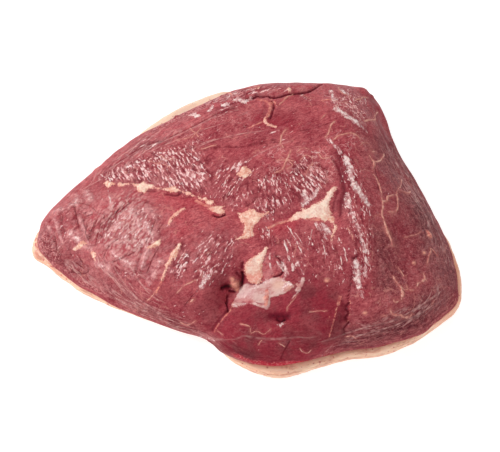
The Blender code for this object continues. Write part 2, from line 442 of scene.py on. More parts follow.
# Pinker, wetter fat: half width in pixels and line
PINK_LINES = [
    (1.4, [(163, 278), (160, 285), (156, 292)]),
    (2.0, [(271, 103), (270, 110), (267, 116), (265, 122)]),
    (1.1, [(233, 304), (230, 311), (226, 316)]),
    (0.9, [(225, 317), (221, 322)]),
    (1.1, [(219, 324), (214, 332)]),
    (1.8, [(340, 297), (338, 304)]),
    (1.0, [(337, 306), (335, 315), (332, 327), (329, 337)]),
    (0.8, [(329, 316), (326, 330)]),
    (0.9, [(350, 300), (350, 310), (348, 322)]),
    (2.3, [(267, 292), (267, 298), (266, 305)]),
    (1.3, [(241, 324), (248, 326)]),
    (1.8, [(196, 201), (204, 205), (212, 207)]),
    (1.6, [(298, 218), (310, 219), (322, 220)]),
    (1.5, [(268, 228), (278, 224), (287, 221)]),
    (1.6, [(222, 96), (228, 93), (232, 95)]),
    (1.5, [(240, 90), (250, 88), (260, 87)]),
    (1.2, [(258, 100), (265, 101), (269, 104), (270, 109)]),
    (1.0, [(271, 99), (275, 103), (277, 107)]),
    (1.2, [(264, 121), (256, 125), (249, 128)]),
    (1.3, [(321, 82), (330, 81), (339, 84)]),
    (2.8, [(428, 232), (430, 236)]),
    (1.6, [(387, 229), (389, 236)]),
    (1.5, [(401, 289), (403, 295)]),
]

# Raised spots on the muscle: radius and rise in metres, and the place in pixels
KNOTS = [
    (0.0026, 0.0030, (235, 284)),
    (0.0015, 0.0014, (232, 279)),
    (0.0014, 0.0012, (237, 289)),
    (0.0016, 0.0008, (266, 299)),
    (0.0018, 0.0009, (429, 235)),
    (0.0012, 0.0004, (424, 253)),
    (0.0012, 0.0004, (414, 263)),
    (0.0012, 0.0004, (365, 313)),
    (0.0014, 0.0005, (327, 280)),
]

# The outline of the silverskin in pixels, and shreds of it: half width in pixels and line
SILVERSKIN = [
    (231, 306), (234, 300), (236, 296), (239, 290), (242, 285), (248, 283), (256, 284), (265, 282),
    (270, 278), (279, 276), (283, 278), (286, 281), (291, 282), (295, 286), (291, 290), (283, 295),
    (271, 298), (270, 306), (267, 310), (262, 308), (252, 305), (246, 304), (239, 306), (234, 308),
]
SILVER_SHREDS = [
    (2.2, [(303, 279), (301, 285), (297, 290)]),
    (1.4, [(297, 284), (300, 289)]),
    (1.0, [(293, 298), (299, 291)]),
]

# Narrow grooves and hollows, also darkened by painted shade: depth and half width in metres
GROOVES = [
    (0.0008, 0.0008, [(140, 195), (147, 191), (156, 191)]),
    (0.0009, 0.0008, [(166, 194), (177, 195), (181, 192)]),
    (0.0008, 0.0006, [(186, 197), (192, 197)]),
    (0.0003, 0.0012, [(184, 198), (196, 202), (206, 209), (212, 214)]),
    (0.0014, 0.0008, [(214, 215), (219, 216), (225, 214)]),
    (0.0004, 0.0012, [(262, 232), (270, 228), (280, 224), (288, 223)]),
    (0.0014, 0.0006, [(308, 218), (312, 216)]),
    (
        0.0015, 0.0007,
        [
            (246, 99), (253, 98), (257, 96), (262, 97), (267, 96), (272, 98), (279, 97), (285, 95),
            (292, 94), (302, 93), (312, 90), (322, 85),
        ],
    ),
    (0.0012, 0.0007, [(272, 101), (274, 106), (272, 112), (270, 118)]),
    (0.0020, 0.0015, [(223, 288), (227, 287), (230, 287)]),
    (0.0013, 0.0008, [(230, 291), (235, 292)]),
    (0.0012, 0.0010, [(228, 296), (227, 303)]),
    (0.0013, 0.0008, [(227, 304), (228, 311)]),
    (0.0024, 0.0012, [(242, 273), (243, 278), (241, 285)]),
    (0.0010, 0.0010, [(237, 273), (240, 277)]),
    (0.0008, 0.0012, [(226, 312), (219, 320), (212, 330)]),
    (0.0018, 0.0011, [(277, 319), (281, 321), (285, 319)]),
    (0.0011, 0.0024, [(271, 315), (279, 316), (288, 316)]),
    (0.0012, 0.0005, [(349, 291), (348, 296), (348, 300)]),
    (0.0018, 0.0006, [(349, 303), (346, 308), (349, 313), (346, 318), (349, 323)]),
    (0.0009, 0.0006, [(348, 324), (344, 329), (345, 334)]),
    (0.0006, 0.0024, [(344, 302), (343, 311), (342, 320)]),
    (0.0010, 0.0006, [(352, 275), (351, 283), (349, 290)]),
    (0.0008, 0.0007, [(281, 361), (285, 351), (290, 341)]),
    (0.0013, 0.0006, [(276, 256), (280, 260), (283, 266), (283, 271), (280, 275), (274, 277)]),
    (0.0008, 0.0005, [(270, 280), (262, 283), (254, 285), (247, 283)]),
    (0.0008, 0.0013, [(334, 160), (339, 170), (343, 182), (344, 193), (341, 205), (340, 216)]),
    (0.0014, 0.0008, [(354, 258), (358, 256)]),
    (0.0006, 0.0011, [(142, 243), (141, 252), (139, 259), (137, 266), (136, 272)]),
    (0.0005, 0.0008, [(135, 198), (127, 206), (119, 214)]),
    (0.0006, 0.0008, [(114, 213), (106, 219), (98, 224), (92, 227)]),
    (0.0005, 0.0010, [
        (75, 206), (76, 214), (77, 222), (81, 229), (85, 234), (85, 243), (89, 246), (96, 245),
    ]),
    (0.0007, 0.0012, [(338, 190), (334, 203), (333, 212)]),
    (0.0010, 0.0010, [(243, 262), (242, 268)]),
    (0.0005, 0.0018, [(107, 292), (112, 297), (114, 300)]),
]

# Soft folds that stand up, and small corrections: rise, half width or spread in metres, line or place
FOLDS = [
    (0.0009, 0.0020, [(61, 210), (59, 222), (61, 234), (66, 246), (66, 256)]),
    (0.0007, 0.0010, [(80, 216), (82, 224), (86, 232), (88, 240)]),
    (0.0005, 0.0008, [(81, 215), (92, 213), (105, 212)]),
    (0.0008, 0.0014, [(106, 246), (112, 243), (120, 241), (128, 243), (134, 247)]),
    (0.0007, 0.0011, [(147, 252), (144, 262), (140, 272)]),
    (0.0006, 0.0010, [(98, 250), (101, 258), (104, 266)]),
    (0.0006, 0.0014, [(113, 208), (104, 214), (98, 222)]),
    (0.0006, 0.0016, [(88, 262), (100, 268), (112, 276)]),
    (0.0007, 0.0016, [(262, 103), (263, 110), (261, 117)]),
    (0.0006, 0.0018, [(210, 146), (235, 143), (258, 137), (284, 128)]),
    (0.0006, 0.0014, [(280, 225), (279, 240), (276, 254)]),
    (0.0005, 0.0012, [(296, 228), (304, 244), (309, 258)]),
    (0.0006, 0.0014, [(232, 300), (224, 314), (216, 326)]),
]
NUDGES = [
    (-0.0014, 0.0100, (281, 359)),
    (0.0010, 0.0050, (74, 236)),
    (0.0010, 0.0055, (117, 256)),
    (0.0007, 0.0024, (149, 227)),
    (0.0007, 0.0020, (146, 241)),
    (0.0006, 0.0024, (124, 219)),
    (0.0009, 0.0065, (455, 298)),
    (0.0020, 0.0065, (447, 312)),
    (0.0024, 0.0070, (435, 322)),
    (0.0022, 0.0070, (422, 329)),
    (0.0012, 0.0070, (405, 337)),
    (0.0030, 0.0070, (46, 247)),
    (0.0026, 0.0070, (57, 261)),
    (0.0020, 0.0070, (70, 273)),
    (0.0016, 0.0070, (84, 284)),
    (-0.0016, 0.012, (391, 138)),
    (-0.0020, 0.007, (387, 123)),
    (-0.0014, 0.014, (402, 163)),
    (-0.0010, 0.012, (414, 188)),
    (0.0014, 0.0045, (365, 91)),
    (0.0012, 0.0080, (331, 86)),
    (0.0014, 0.0100, (49, 212)),
    (0.0008, 0.0030, (376, 99)),
    (0.0007, 0.0025, (240, 91)),
    (0.0007, 0.0025, (205, 99)),
    (0.0010, 0.0060, (222, 350)),
    (0.0008, 0.0022, (366, 90)),
    (0.0009, 0.0020, (372, 97)),
    (-0.0007, 0.0020, (369, 93)),
    (0.0008, 0.0022, (379, 109)),
    (0.0006, 0.0022, (394, 143)),
    (0.0006, 0.0022, (411, 176)),
    (0.0006, 0.0024, (426, 202)),
    (0.0006, 0.0026, (61, 199)),
    (0.0006, 0.0026, (96, 169)),
    (0.0006, 0.0030, (151, 127)),
    (0.0008, 0.0018, (160, 127)),
    (0.0007, 0.0018, (168, 123)),
    (0.0016, 0.0020, (177, 118)),
    (0.0008, 0.0018, (190, 112)),
    (0.0008, 0.0020, (203, 106)),
    (0.0008, 0.0018, (213, 101)),
    (0.0014, 0.0020, (222, 97)),
    (0.0008, 0.0018, (232, 94)),
]

# Small corrections of the fat cap's outline: rise and spread in metres, and the place in pixels
FAT_NUDGES = [
    (0.0012, 0.014, (268, 373)),
    (-0.0018, 0.009, (441, 325)),
    (0.0022, 0.005, (32, 252)),
    (-0.0005, 0.008, (229, 357)),
]

# Thin wrinkles, drawn as dark lines of painted shade in their dips: half width in pixels, depth in metres,
# line
WRINKLE_LINES = [
    (1.0, 0.0009, [(97, 219), (93, 228), (91, 239)]),
    (1.0, 0.0009, [(104, 217), (99, 227), (96, 239)]),
    (1.0, 0.0008, [(112, 213), (106, 223), (101, 236)]),
    (0.9, 0.0007, [(121, 206), (113, 217), (107, 229)]),
    (0.6, 0.0004, [(44, 240), (50, 244), (56, 242)]),
    (0.6, 0.0004, [(46, 248), (52, 252), (58, 250)]),
    (0.6, 0.0004, [(50, 236), (52, 246), (50, 256)]),
    (0.6, 0.0004, [(56, 238), (58, 248), (57, 258)]),
    (0.6, 0.0004, [(47, 256), (54, 259), (60, 262)]),
    (0.7, 0.0005, [(86, 213), (84, 222), (87, 231)]),
    (0.7, 0.0004, [(128, 196), (122, 205), (116, 212)]),
    (0.7, 0.0004, [(64, 216), (63, 224), (65, 232)]),
    (0.3, 0.0006, [(70, 205), (80, 203), (90, 206), (97, 212)]),
    (0.9, 0.0006, [(63, 250), (63, 258), (66, 263)]),
    (0.6, 0.0003, [(72, 255), (76, 262), (84, 268)]),
    (0.6, 0.0003, [(78, 255), (82, 262), (88, 266)]),
    (0.6, 0.0003, [(68, 264), (75, 270), (82, 273)]),
    (0.7, 0.0005, [(158, 249), (152, 260), (148, 270)]),
    (0.7, 0.0005, [(134, 252), (124, 258), (114, 262)]),
    (0.7, 0.0005, [(118, 240), (108, 248), (104, 256)]),
    (0.4, 0.0006, [(74, 272), (82, 274), (88, 272), (89, 267)]),
    (0.7, 0.0004, [(119, 214), (112, 224), (103, 236)]),
    (0.6, 0.0003, [(129, 203), (120, 212), (110, 222), (101, 230)]),
    (0.7, 0.0003, [(80, 214), (86, 216), (97, 213), (104, 215)]),
    (1.3, 0.0002, [(236, 302), (243, 303), (250, 303)]),
    (0.7, 0.0002, [(258, 304), (264, 305), (269, 304)]),
    (0.6, 0.0004, [(88, 224), (86, 232), (89, 240)]),
    (0.6, 0.0004, [(94, 222), (91, 231), (90, 240)]),
    (0.6, 0.0003, [(101, 228), (97, 236), (96, 242)]),
    (0.6, 0.0003, [(75, 208), (77, 218), (79, 228)]),
    (0.8, 0.0004, [(205, 150), (222, 147), (240, 147), (258, 143), (275, 139)]),
    (0.7, 0.0004, [(256, 146), (265, 143), (280, 142)]),
    (0.6, 0.0003, [(300, 131), (315, 128), (330, 123)]),
    (0.7, 0.0004, [(170, 137), (180, 132), (195, 125), (212, 117), (235, 108)]),
    (0.6, 0.0003, [(113, 166), (125, 158), (140, 148), (158, 141)]),
    (0.6, 0.0003, [(262, 186), (255, 200), (247, 206)]),
    (0.6, 0.0003, [(155, 222), (150, 235), (147, 242)]),
    (0.6, 0.0003, [(185, 305), (192, 297), (198, 290)]),
    (0.7, 0.0003, [(343, 152), (340, 160), (343, 172)]),
    (0.6, 0.0003, [(372, 160), (377, 175), (379, 190)]),
]

# Soft tints of the meat, the pale, wet and dull ones partly painted light and shade: strength, how far each
# fades in metres, and the line it follows
# Paler flesh: partly paler tissue, partly painted sheen and painted light where faces turn from the lamps
PALE_AND_SHEEN_PLACES = [
    (1.0, 0.0055, [(270, 264), (276, 269), (270, 275)]),
    (0.9, 0.0016, [(266, 256), (264, 266), (263, 276)]),
    (1.0, 0.0042, [(240, 294), (250, 292)]),
    (1.0, 0.0065, [(70, 232), (76, 238), (78, 242)]),
    (0.9, 0.0060, [(112, 248), (120, 254), (126, 262)]),
    (1.0, 0.019, [(85, 225), (105, 215), (130, 220), (144, 234)]),
    (0.5, 0.010, [(338, 98), (352, 104), (368, 116)]),
    (0.35, 0.008, [(430, 240), (442, 270), (441, 298)]),
    (0.8, 0.004, [(202, 334), (210, 337)]),
    (0.6, 0.007, [(240, 96), (275, 91), (310, 87)]),
    (0.8, 0.009, [(50, 228), (60, 218), (64, 240)]),
    (0.8, 0.015, [(100, 262), (140, 262), (160, 255)]),
    (0.6, 0.012, [(175, 262), (195, 250), (215, 245)]),
    (0.7, 0.009, [(125, 172), (160, 172), (195, 172)]),
    (0.4, 0.010, [(120, 160), (160, 135), (200, 110)]),
    (0.4, 0.011, [(50, 236), (54, 214), (70, 196), (92, 180)]),
]
# Darker wet flesh, partly painted shade in hollows, along the ridge's valley and on faces turned from the
# light
WET_AND_SHADE_PLACES = [
    (0.5, 0.008, [(220, 285), (228, 305), (222, 318)]),
    (0.5, 0.008, [(240, 280), (246, 292)]),
    (0.8, 0.014, [(228, 330), (260, 340), (300, 335)]),
    (0.8, 0.012, [(265, 360), (300, 358)]),
    (0.9, 0.013, [(305, 295), (320, 300), (330, 315)]),
    (0.6, 0.010, [(205, 310), (215, 300)]),
    (0.5, 0.007, [(262, 118), (285, 120)]),
    (0.5, 0.010, [(270, 310), (290, 305)]),
    (0.7, 0.0040, [(338, 150), (342, 170), (344, 190), (339, 206)]),
    (0.8, 0.0140, [(235, 345), (272, 352), (315, 345)]),
    (0.8, 0.0120, [(250, 320), (290, 312), (315, 312), (330, 330)]),
    (0.6, 0.0080, [(300, 290), (320, 290)]),
    (0.5, 0.0060, [(222, 276), (224, 290), (221, 300)]),
    (0.6, 0.0040, [(208, 296), (214, 312), (210, 326)]),
    (0.3, 0.0100, [(160, 292), (180, 300), (200, 308)]),
    (0.55, 0.0055, [(373, 102), (379, 116), (384, 130), (388, 142)]),
    (0.26, 0.0090, [(396, 222), (400, 262)]),
]
# Duller, darker flesh on the sides: painted shade where they face away from the key light, with a painted
# grey sheen
DULL_AND_SHADE_PLACES = [
    (0.7, 0.0065, [(52, 254), (64, 262), (80, 268), (95, 274)]),
    (0.6, 0.0050, [(44, 232), (52, 244), (60, 252)]),
    (1.0, 0.020, [(392, 148), (402, 168), (425, 220), (445, 270)]),
    (1.0, 0.016, [(440, 300), (400, 328), (350, 342)]),
    (0.7, 0.008, [(95, 275), (125, 297), (160, 316), (200, 332)]),
    (0.8, 0.010, [(215, 345), (235, 352), (250, 358)]),
    (0.9, 0.014, [(385, 240), (390, 280)]),
]
FLUSH_PLACES = [
    (0.45, 0.0050, [(246, 218), (250, 232)]),
    (0.40, 0.0060, [(378, 122), (386, 136), (398, 162), (410, 190)]),
    (0.90, 0.0070, [(366, 98), (374, 106), (379, 118)]),
    (0.6, 0.0100, [(335, 100), (355, 108), (372, 122)]),
    (0.6, 0.0040, [(344, 152), (354, 175), (361, 205), (366, 240), (365, 290)]),
    (0.8, 0.0022, [(266, 258), (265, 268), (264, 277)]),
    (1.0, 0.0034, [(248, 276), (255, 279), (261, 275)]),
    (0.5, 0.0050, [(248, 264), (252, 270), (258, 272)]),
    (0.3, 0.0050, [(250, 92), (275, 89), (300, 86), (318, 84)]),
    (0.8, 0.0036, [(188, 199), (203, 205), (216, 216)]),
    (0.7, 0.0050, [(155, 196), (172, 199), (186, 203)]),
    (0.7, 0.0050, [(262, 232), (275, 229), (290, 225)]),
    (0.6, 0.0060, [(262, 119), (278, 121), (292, 128)]),
    (0.5, 0.0060, [(176, 206), (182, 220), (178, 232)]),
    (1.0, 0.0060, [
        (152, 131), (162, 126), (176, 119), (190, 112), (203, 106), (215, 100), (226, 96), (240, 93),
    ]),
    (0.5, 0.0050, [(270, 330), (290, 326), (300, 330)]),
    (0.8, 0.0018, [(234, 302), (241, 301), (250, 302)]),
]
CRUST_PLACES = [
    (1.0, 0.0050, [(45, 238), (50, 248), (56, 256)]),
    (0.7, 0.0020, [(58, 263), (74, 275), (90, 286), (108, 296)]),
    (1.0, 0.0044, [(238, 357), (248, 361), (260, 363)]),
    (0.9, 0.0030, [(260, 363), (274, 365), (292, 363)]),
    (1.0, 0.0050, [
        (152, 131), (162, 126), (176, 119), (190, 112), (203, 106), (215, 100), (226, 96), (240, 93),
    ]),
]
CREAM_PLACES = [
    (1.0, 0.0060, [(302, 216), (318, 211), (330, 196)]),
    (1.0, 0.0034, [(262, 252), (256, 260), (252, 268)]),
    (0.5, 0.0040, [(140, 186), (150, 187)]),
    (0.9, 0.0036, [(278, 285), (285, 284), (291, 286)]),
]

# Thin veils of skin along the rim: half width in pixels and line
VEIL_LINES = [
    (1.9, [(202, 335), (208, 337), (215, 339), (224, 340)]),
    (0.9, [(224, 340), (236, 339), (243, 336), (252, 337)]),
    (1.2, [(256, 338), (263, 339), (270, 340)]),
    (1.6, [(268, 339), (277, 339), (285, 338)]),
    (1.0, [(290, 338), (299, 337), (308, 338), (315, 337)]),
    (1.0, [(214, 342), (222, 349), (230, 356), (238, 359)]),
    (1.0, [(314, 361), (322, 356), (328, 350), (332, 345)]),
    (1.2, [(322, 342), (345, 334), (370, 326), (395, 320), (420, 306), (440, 292)]),
    (0.9, [(340, 344), (365, 334), (390, 327), (415, 316), (435, 304)]),
    (0.9, [(383, 133), (397, 158), (410, 184), (424, 214), (438, 246)]),
    (0.8, [(376, 120), (390, 148), (400, 166), (405, 180)]),
    (0.8, [(398, 150), (412, 178), (426, 206), (440, 236), (450, 262)]),
    (0.9, [(402, 176), (408, 190), (418, 204), (430, 226)]),
    (0.9, [(112, 262), (118, 274), (128, 288), (140, 300), (152, 308)]),
    (0.8, [(104, 262), (114, 278), (126, 292), (138, 303)]),
    (0.8, [(128, 262), (136, 276), (146, 290), (158, 300)]),
    (0.9, [(118, 158), (135, 146), (155, 132), (180, 118), (205, 108)]),
    (0.9, [(128, 164), (150, 148), (175, 136), (205, 122), (232, 112)]),
    (0.8, [(190, 150), (215, 140), (240, 134), (262, 131)]),
    (0.8, [(236, 168), (262, 152), (290, 141)]),
    (0.6, [(140, 141), (160, 129), (185, 117)]),
    (0.6, [(150, 151), (175, 141), (200, 131), (225, 123)]),
    (0.6, [(162, 158), (190, 147), (215, 139)]),
    (0.6, [(98, 177), (120, 163), (142, 151)]),
    (0.6, [(84, 188), (100, 180), (118, 171)]),
    (0.6, [(135, 153), (155, 143), (172, 133)]),
    (0.6, [(92, 252), (106, 270), (122, 290), (138, 306)]),
    (0.6, [(100, 256), (118, 280), (134, 296), (150, 306)]),
    (0.6, [(84, 280), (110, 296), (140, 310), (170, 320)]),
    (0.6, [(100, 286), (130, 302), (160, 314), (190, 324)]),
    (0.6, [(70, 266), (90, 282), (112, 294)]),
    (0.6, [(122, 308), (150, 318), (180, 329), (200, 337)]),
    (0.6, [(118, 302), (145, 314), (172, 324), (198, 333)]),
    (0.5, [(116, 298), (140, 309), (165, 318), (188, 326)]),
]

# Part of the lower edge where the meat is bare down to its foot
BARE_FOOT = [(115, 304), (160, 324), (200, 338)]

# Pale blooms, partly painted sheen: half width in pixels and line
BLOOM_LINES = [
    (4.4, [(72, 234), (78, 239)]),
    (2.4, [(80, 218), (82, 225), (85, 231)]),
    (1.2, [(82, 215), (93, 213), (104, 213)]),
    (1.4, [(86, 233), (88, 241)]),
    (3.0, [(57, 213), (66, 211)]),
    (3.0, [(71, 207), (75, 204), (77, 200)]),
    (3.2, [(86, 192), (90, 199)]),
    (2.0, [(84, 247), (92, 250)]),
    (3.4, [(142, 242), (149, 240)]),
    (3.4, [(146, 223), (149, 229), (152, 234)]),
    (2.4, [(107, 246), (113, 243), (121, 241), (129, 243)]),
    (2.6, [(148, 250), (145, 258), (142, 268)]),
    (3.0, [(112, 252), (118, 257)]),
    (3.6, [(122, 259), (131, 264)]),
    (2.6, [(120, 224), (112, 230)]),
    (1.6, [(135, 204), (128, 211), (120, 219)]),
    (2.0, [(145, 206), (150, 212), (156, 217)]),
    (1.6, [(109, 197), (113, 206)]),
    (2.6, [(128, 212), (136, 216), (140, 228)]),
    (3.0, [(160, 262), (156, 272), (150, 282)]),
    (3.0, [(98, 264), (108, 268)]),
    (1.8, [(57, 222), (60, 232), (64, 242)]),
    (2.0, [(48, 224), (52, 232)]),
]

# Painted sheen, whitish highlights on the wet surface: half width in pixels and line
SHEEN_PLACES = [
    (0.9, [(238, 297), (245, 298), (252, 296)]),
    (2.6, [(284, 288), (289, 284), (292, 286)]),
    (0.8, [(200, 336), (206, 338), (214, 340)]),
    (1.4, [(261, 284), (266, 282), (271, 279)]),
    (1.6, [(250, 287), (258, 287)]),
    (1.2, [(234, 306), (240, 306), (246, 304)]),
    (2.8, [(324, 225), (330, 234)]),
    (2.8, [(336, 108), (341, 112), (346, 115)]),
    (3.2, [(348, 117), (354, 120), (360, 125)]),
    (1.5, [(362, 127), (367, 132)]),
    (2.2, [(331, 92), (334, 100)]),
    (2.2, [(342, 90), (348, 95)]),
    (1.4, [(329, 140), (336, 146), (341, 152)]),
    (3.4, [(346, 158), (350, 168), (352, 180)]),
    (3.0, [(352, 180), (356, 188), (363, 196), (368, 205)]),
    (2.7, [(346, 195), (349, 207)]),
    (1.5, [(350, 208), (354, 217), (358, 227), (361, 236)]),
    (2.5, [(361, 240), (365, 252)]),
    (2.0, [(366, 258), (365, 274)]),
    (2.8, [(356, 261), (358, 274), (359, 287)]),
    (1.6, [(361, 291), (362, 296)]),
    (3.0, [(193, 114), (197, 116)]),
    (2.2, [(209, 110), (212, 106)]),
    (2.2, [(222, 105), (229, 104)]),
    (2.6, [(236, 99), (244, 101), (250, 99)]),
    (1.6, [(228, 97), (236, 94)]),
    (2.0, [(143, 241), (148, 239)]),
    (1.6, [(146, 223), (149, 229)]),
    (0.9, [(316, 223), (320, 229), (325, 236), (330, 242)]),
    (0.8, [(277, 256), (282, 261), (285, 267), (286, 275)]),
    (3.0, [(302, 205), (307, 200), (304, 193)]),
    (2.2, [(310, 199), (315, 195), (318, 190)]),
    (2.4, [(201, 287), (204, 282), (207, 276)]),
    (1.0, [(196, 293), (200, 288)]),
    (1.6, [(297, 262), (293, 270)]),
    (1.6, [(282, 266), (286, 274), (284, 280)]),
    (0.7, [(275, 324), (280, 325), (285, 323)]),
]

# Zones of wrinkles with painted glint strokes, by their direction: strength, softness of the edge in pixels,
# outline
FALLING = [
    (0.96, 11, [
        (94, 181), (112, 167), (138, 157), (165, 148), (187, 143), (204, 150), (211, 172), (209, 195),
        (185, 194),
        (160, 190), (130, 186), (106, 185),
    ]),
    (1.0, 10, [
        (292, 162), (308, 156), (324, 165), (333, 180), (322, 196), (303, 206), (292, 196), (287, 180),
    ]),
    (0.3, 12, [(110, 195), (150, 194), (165, 205), (160, 225), (140, 245), (120, 250)]),
    (0.35, 14, [(372, 140), (400, 180), (410, 220), (395, 250), (380, 210), (370, 170)]),
]
RISING = [
    (0.8, 14, [(208, 160), (245, 158), (262, 172), (250, 190), (236, 208), (222, 208), (206, 196)]),
    (0.85, 12, [
        (194, 240), (222, 230), (238, 240), (240, 255), (234, 270), (222, 282), (208, 288), (190, 280),
    ]),
    (1.0, 9, [(168, 242), (184, 242), (194, 255), (190, 270), (176, 282), (168, 270), (174, 255)]),
    (0.8, 14, [
        (92, 236), (110, 210), (126, 196), (150, 204), (166, 225), (160, 250), (145, 260), (120, 246),
        (100, 246),
    ]),
    (0.5, 12, [
        (40, 240), (52, 215), (75, 195), (95, 190), (100, 200), (80, 212), (82, 240), (95, 262),
        (70, 262),
    ]),
]
STEEP = [
    (0.80, 12, [
        (240, 184), (262, 172), (292, 168), (300, 190), (294, 212), (275, 222), (262, 222), (248, 206),
        (238, 204),
    ]),
    (0.55, 14, [
        (284, 226), (320, 224), (345, 232), (352, 260), (350, 292), (318, 282), (296, 282), (284, 262),
        (276, 240),
    ]),
    (0.9, 8, [(256, 222), (272, 226), (278, 245), (268, 246), (258, 240)]),
    (0.8, 10, [
        (338, 150), (352, 150), (372, 200), (376, 240), (372, 290), (356, 300), (346, 285), (350, 250),
        (344, 210),
    ]),
    (0.6, 12, [(320, 92), (345, 88), (370, 98), (376, 112), (366, 130), (345, 122), (330, 112)]),
]
ALONG = [
    (0.9, 10, [
        (118, 160), (140, 138), (165, 120), (200, 103), (236, 92), (262, 96), (240, 106), (205, 122),
        (175, 140), (150, 150),
    ]),
    (0.4, 16, [
        (160, 150), (200, 125), (250, 108), (300, 110), (330, 125), (300, 150), (240, 150), (200, 150),
    ]),
    (0.9, 6, [
        (205, 104), (228, 94), (250, 88), (280, 85), (312, 83), (300, 90), (270, 95), (248, 97),
        (225, 104),
    ]),
    (0.7, 12, [(48, 205), (75, 182), (100, 165), (118, 160), (110, 175), (85, 190), (60, 210)]),
    (0.4, 12, [(150, 296), (175, 285), (200, 300), (205, 325), (180, 320)]),
    (0.6, 12, [(100, 262), (125, 265), (150, 262), (155, 280), (130, 285)]),
]

# Zones where the surface swells into small pale beads: strength, softness in pixels, outline
BEADS = [
    (1.0, 16, [
        (86, 240), (96, 218), (110, 202), (124, 191), (137, 191), (143, 204), (151, 222), (156, 242),
        (148, 258),
        (134, 256), (112, 250), (98, 250),
    ]),
    (0.45, 8, [(40, 238), (48, 230), (58, 238), (63, 254), (57, 262), (46, 252)]),
    (0.7, 6, [(82, 222), (88, 217), (104, 216), (102, 236), (94, 244), (87, 240)]),
    (0.5, 10, [(66, 196), (86, 186), (104, 190), (100, 206), (78, 208)]),
]

# Zones with a net of fine pale threads
NETS = [
    (1.5, 8, [
        (322, 90), (334, 84), (350, 88), (362, 96), (367, 108), (364, 122), (352, 120), (338, 114),
        (328, 102),
    ]),
    (0.8, 10, [
        (290, 158), (304, 147), (322, 147), (337, 156), (342, 170), (328, 180), (308, 174), (296, 168),
    ]),
    (0.7, 8, [(328, 136), (345, 126), (362, 134), (368, 146), (356, 152), (340, 148)]),
    (0.6, 10, [(262, 150), (284, 144), (294, 158), (290, 176), (272, 178), (262, 166)]),
    (0.6, 10, [(60, 200), (78, 188), (92, 196), (84, 212), (66, 214)]),
    (0.35, 12, [(150, 150), (190, 128), (215, 122), (210, 146), (170, 158)]),
    (0.35, 12, [(200, 118), (240, 104), (262, 112), (262, 128), (230, 134), (205, 132)]),
    (0.16, 14, [(360, 150), (395, 160), (420, 200), (440, 260), (420, 310), (380, 320), (370, 260)]),
    (0.3, 10, [(212, 318), (250, 320), (280, 328), (270, 340), (240, 336), (218, 332)]),
]

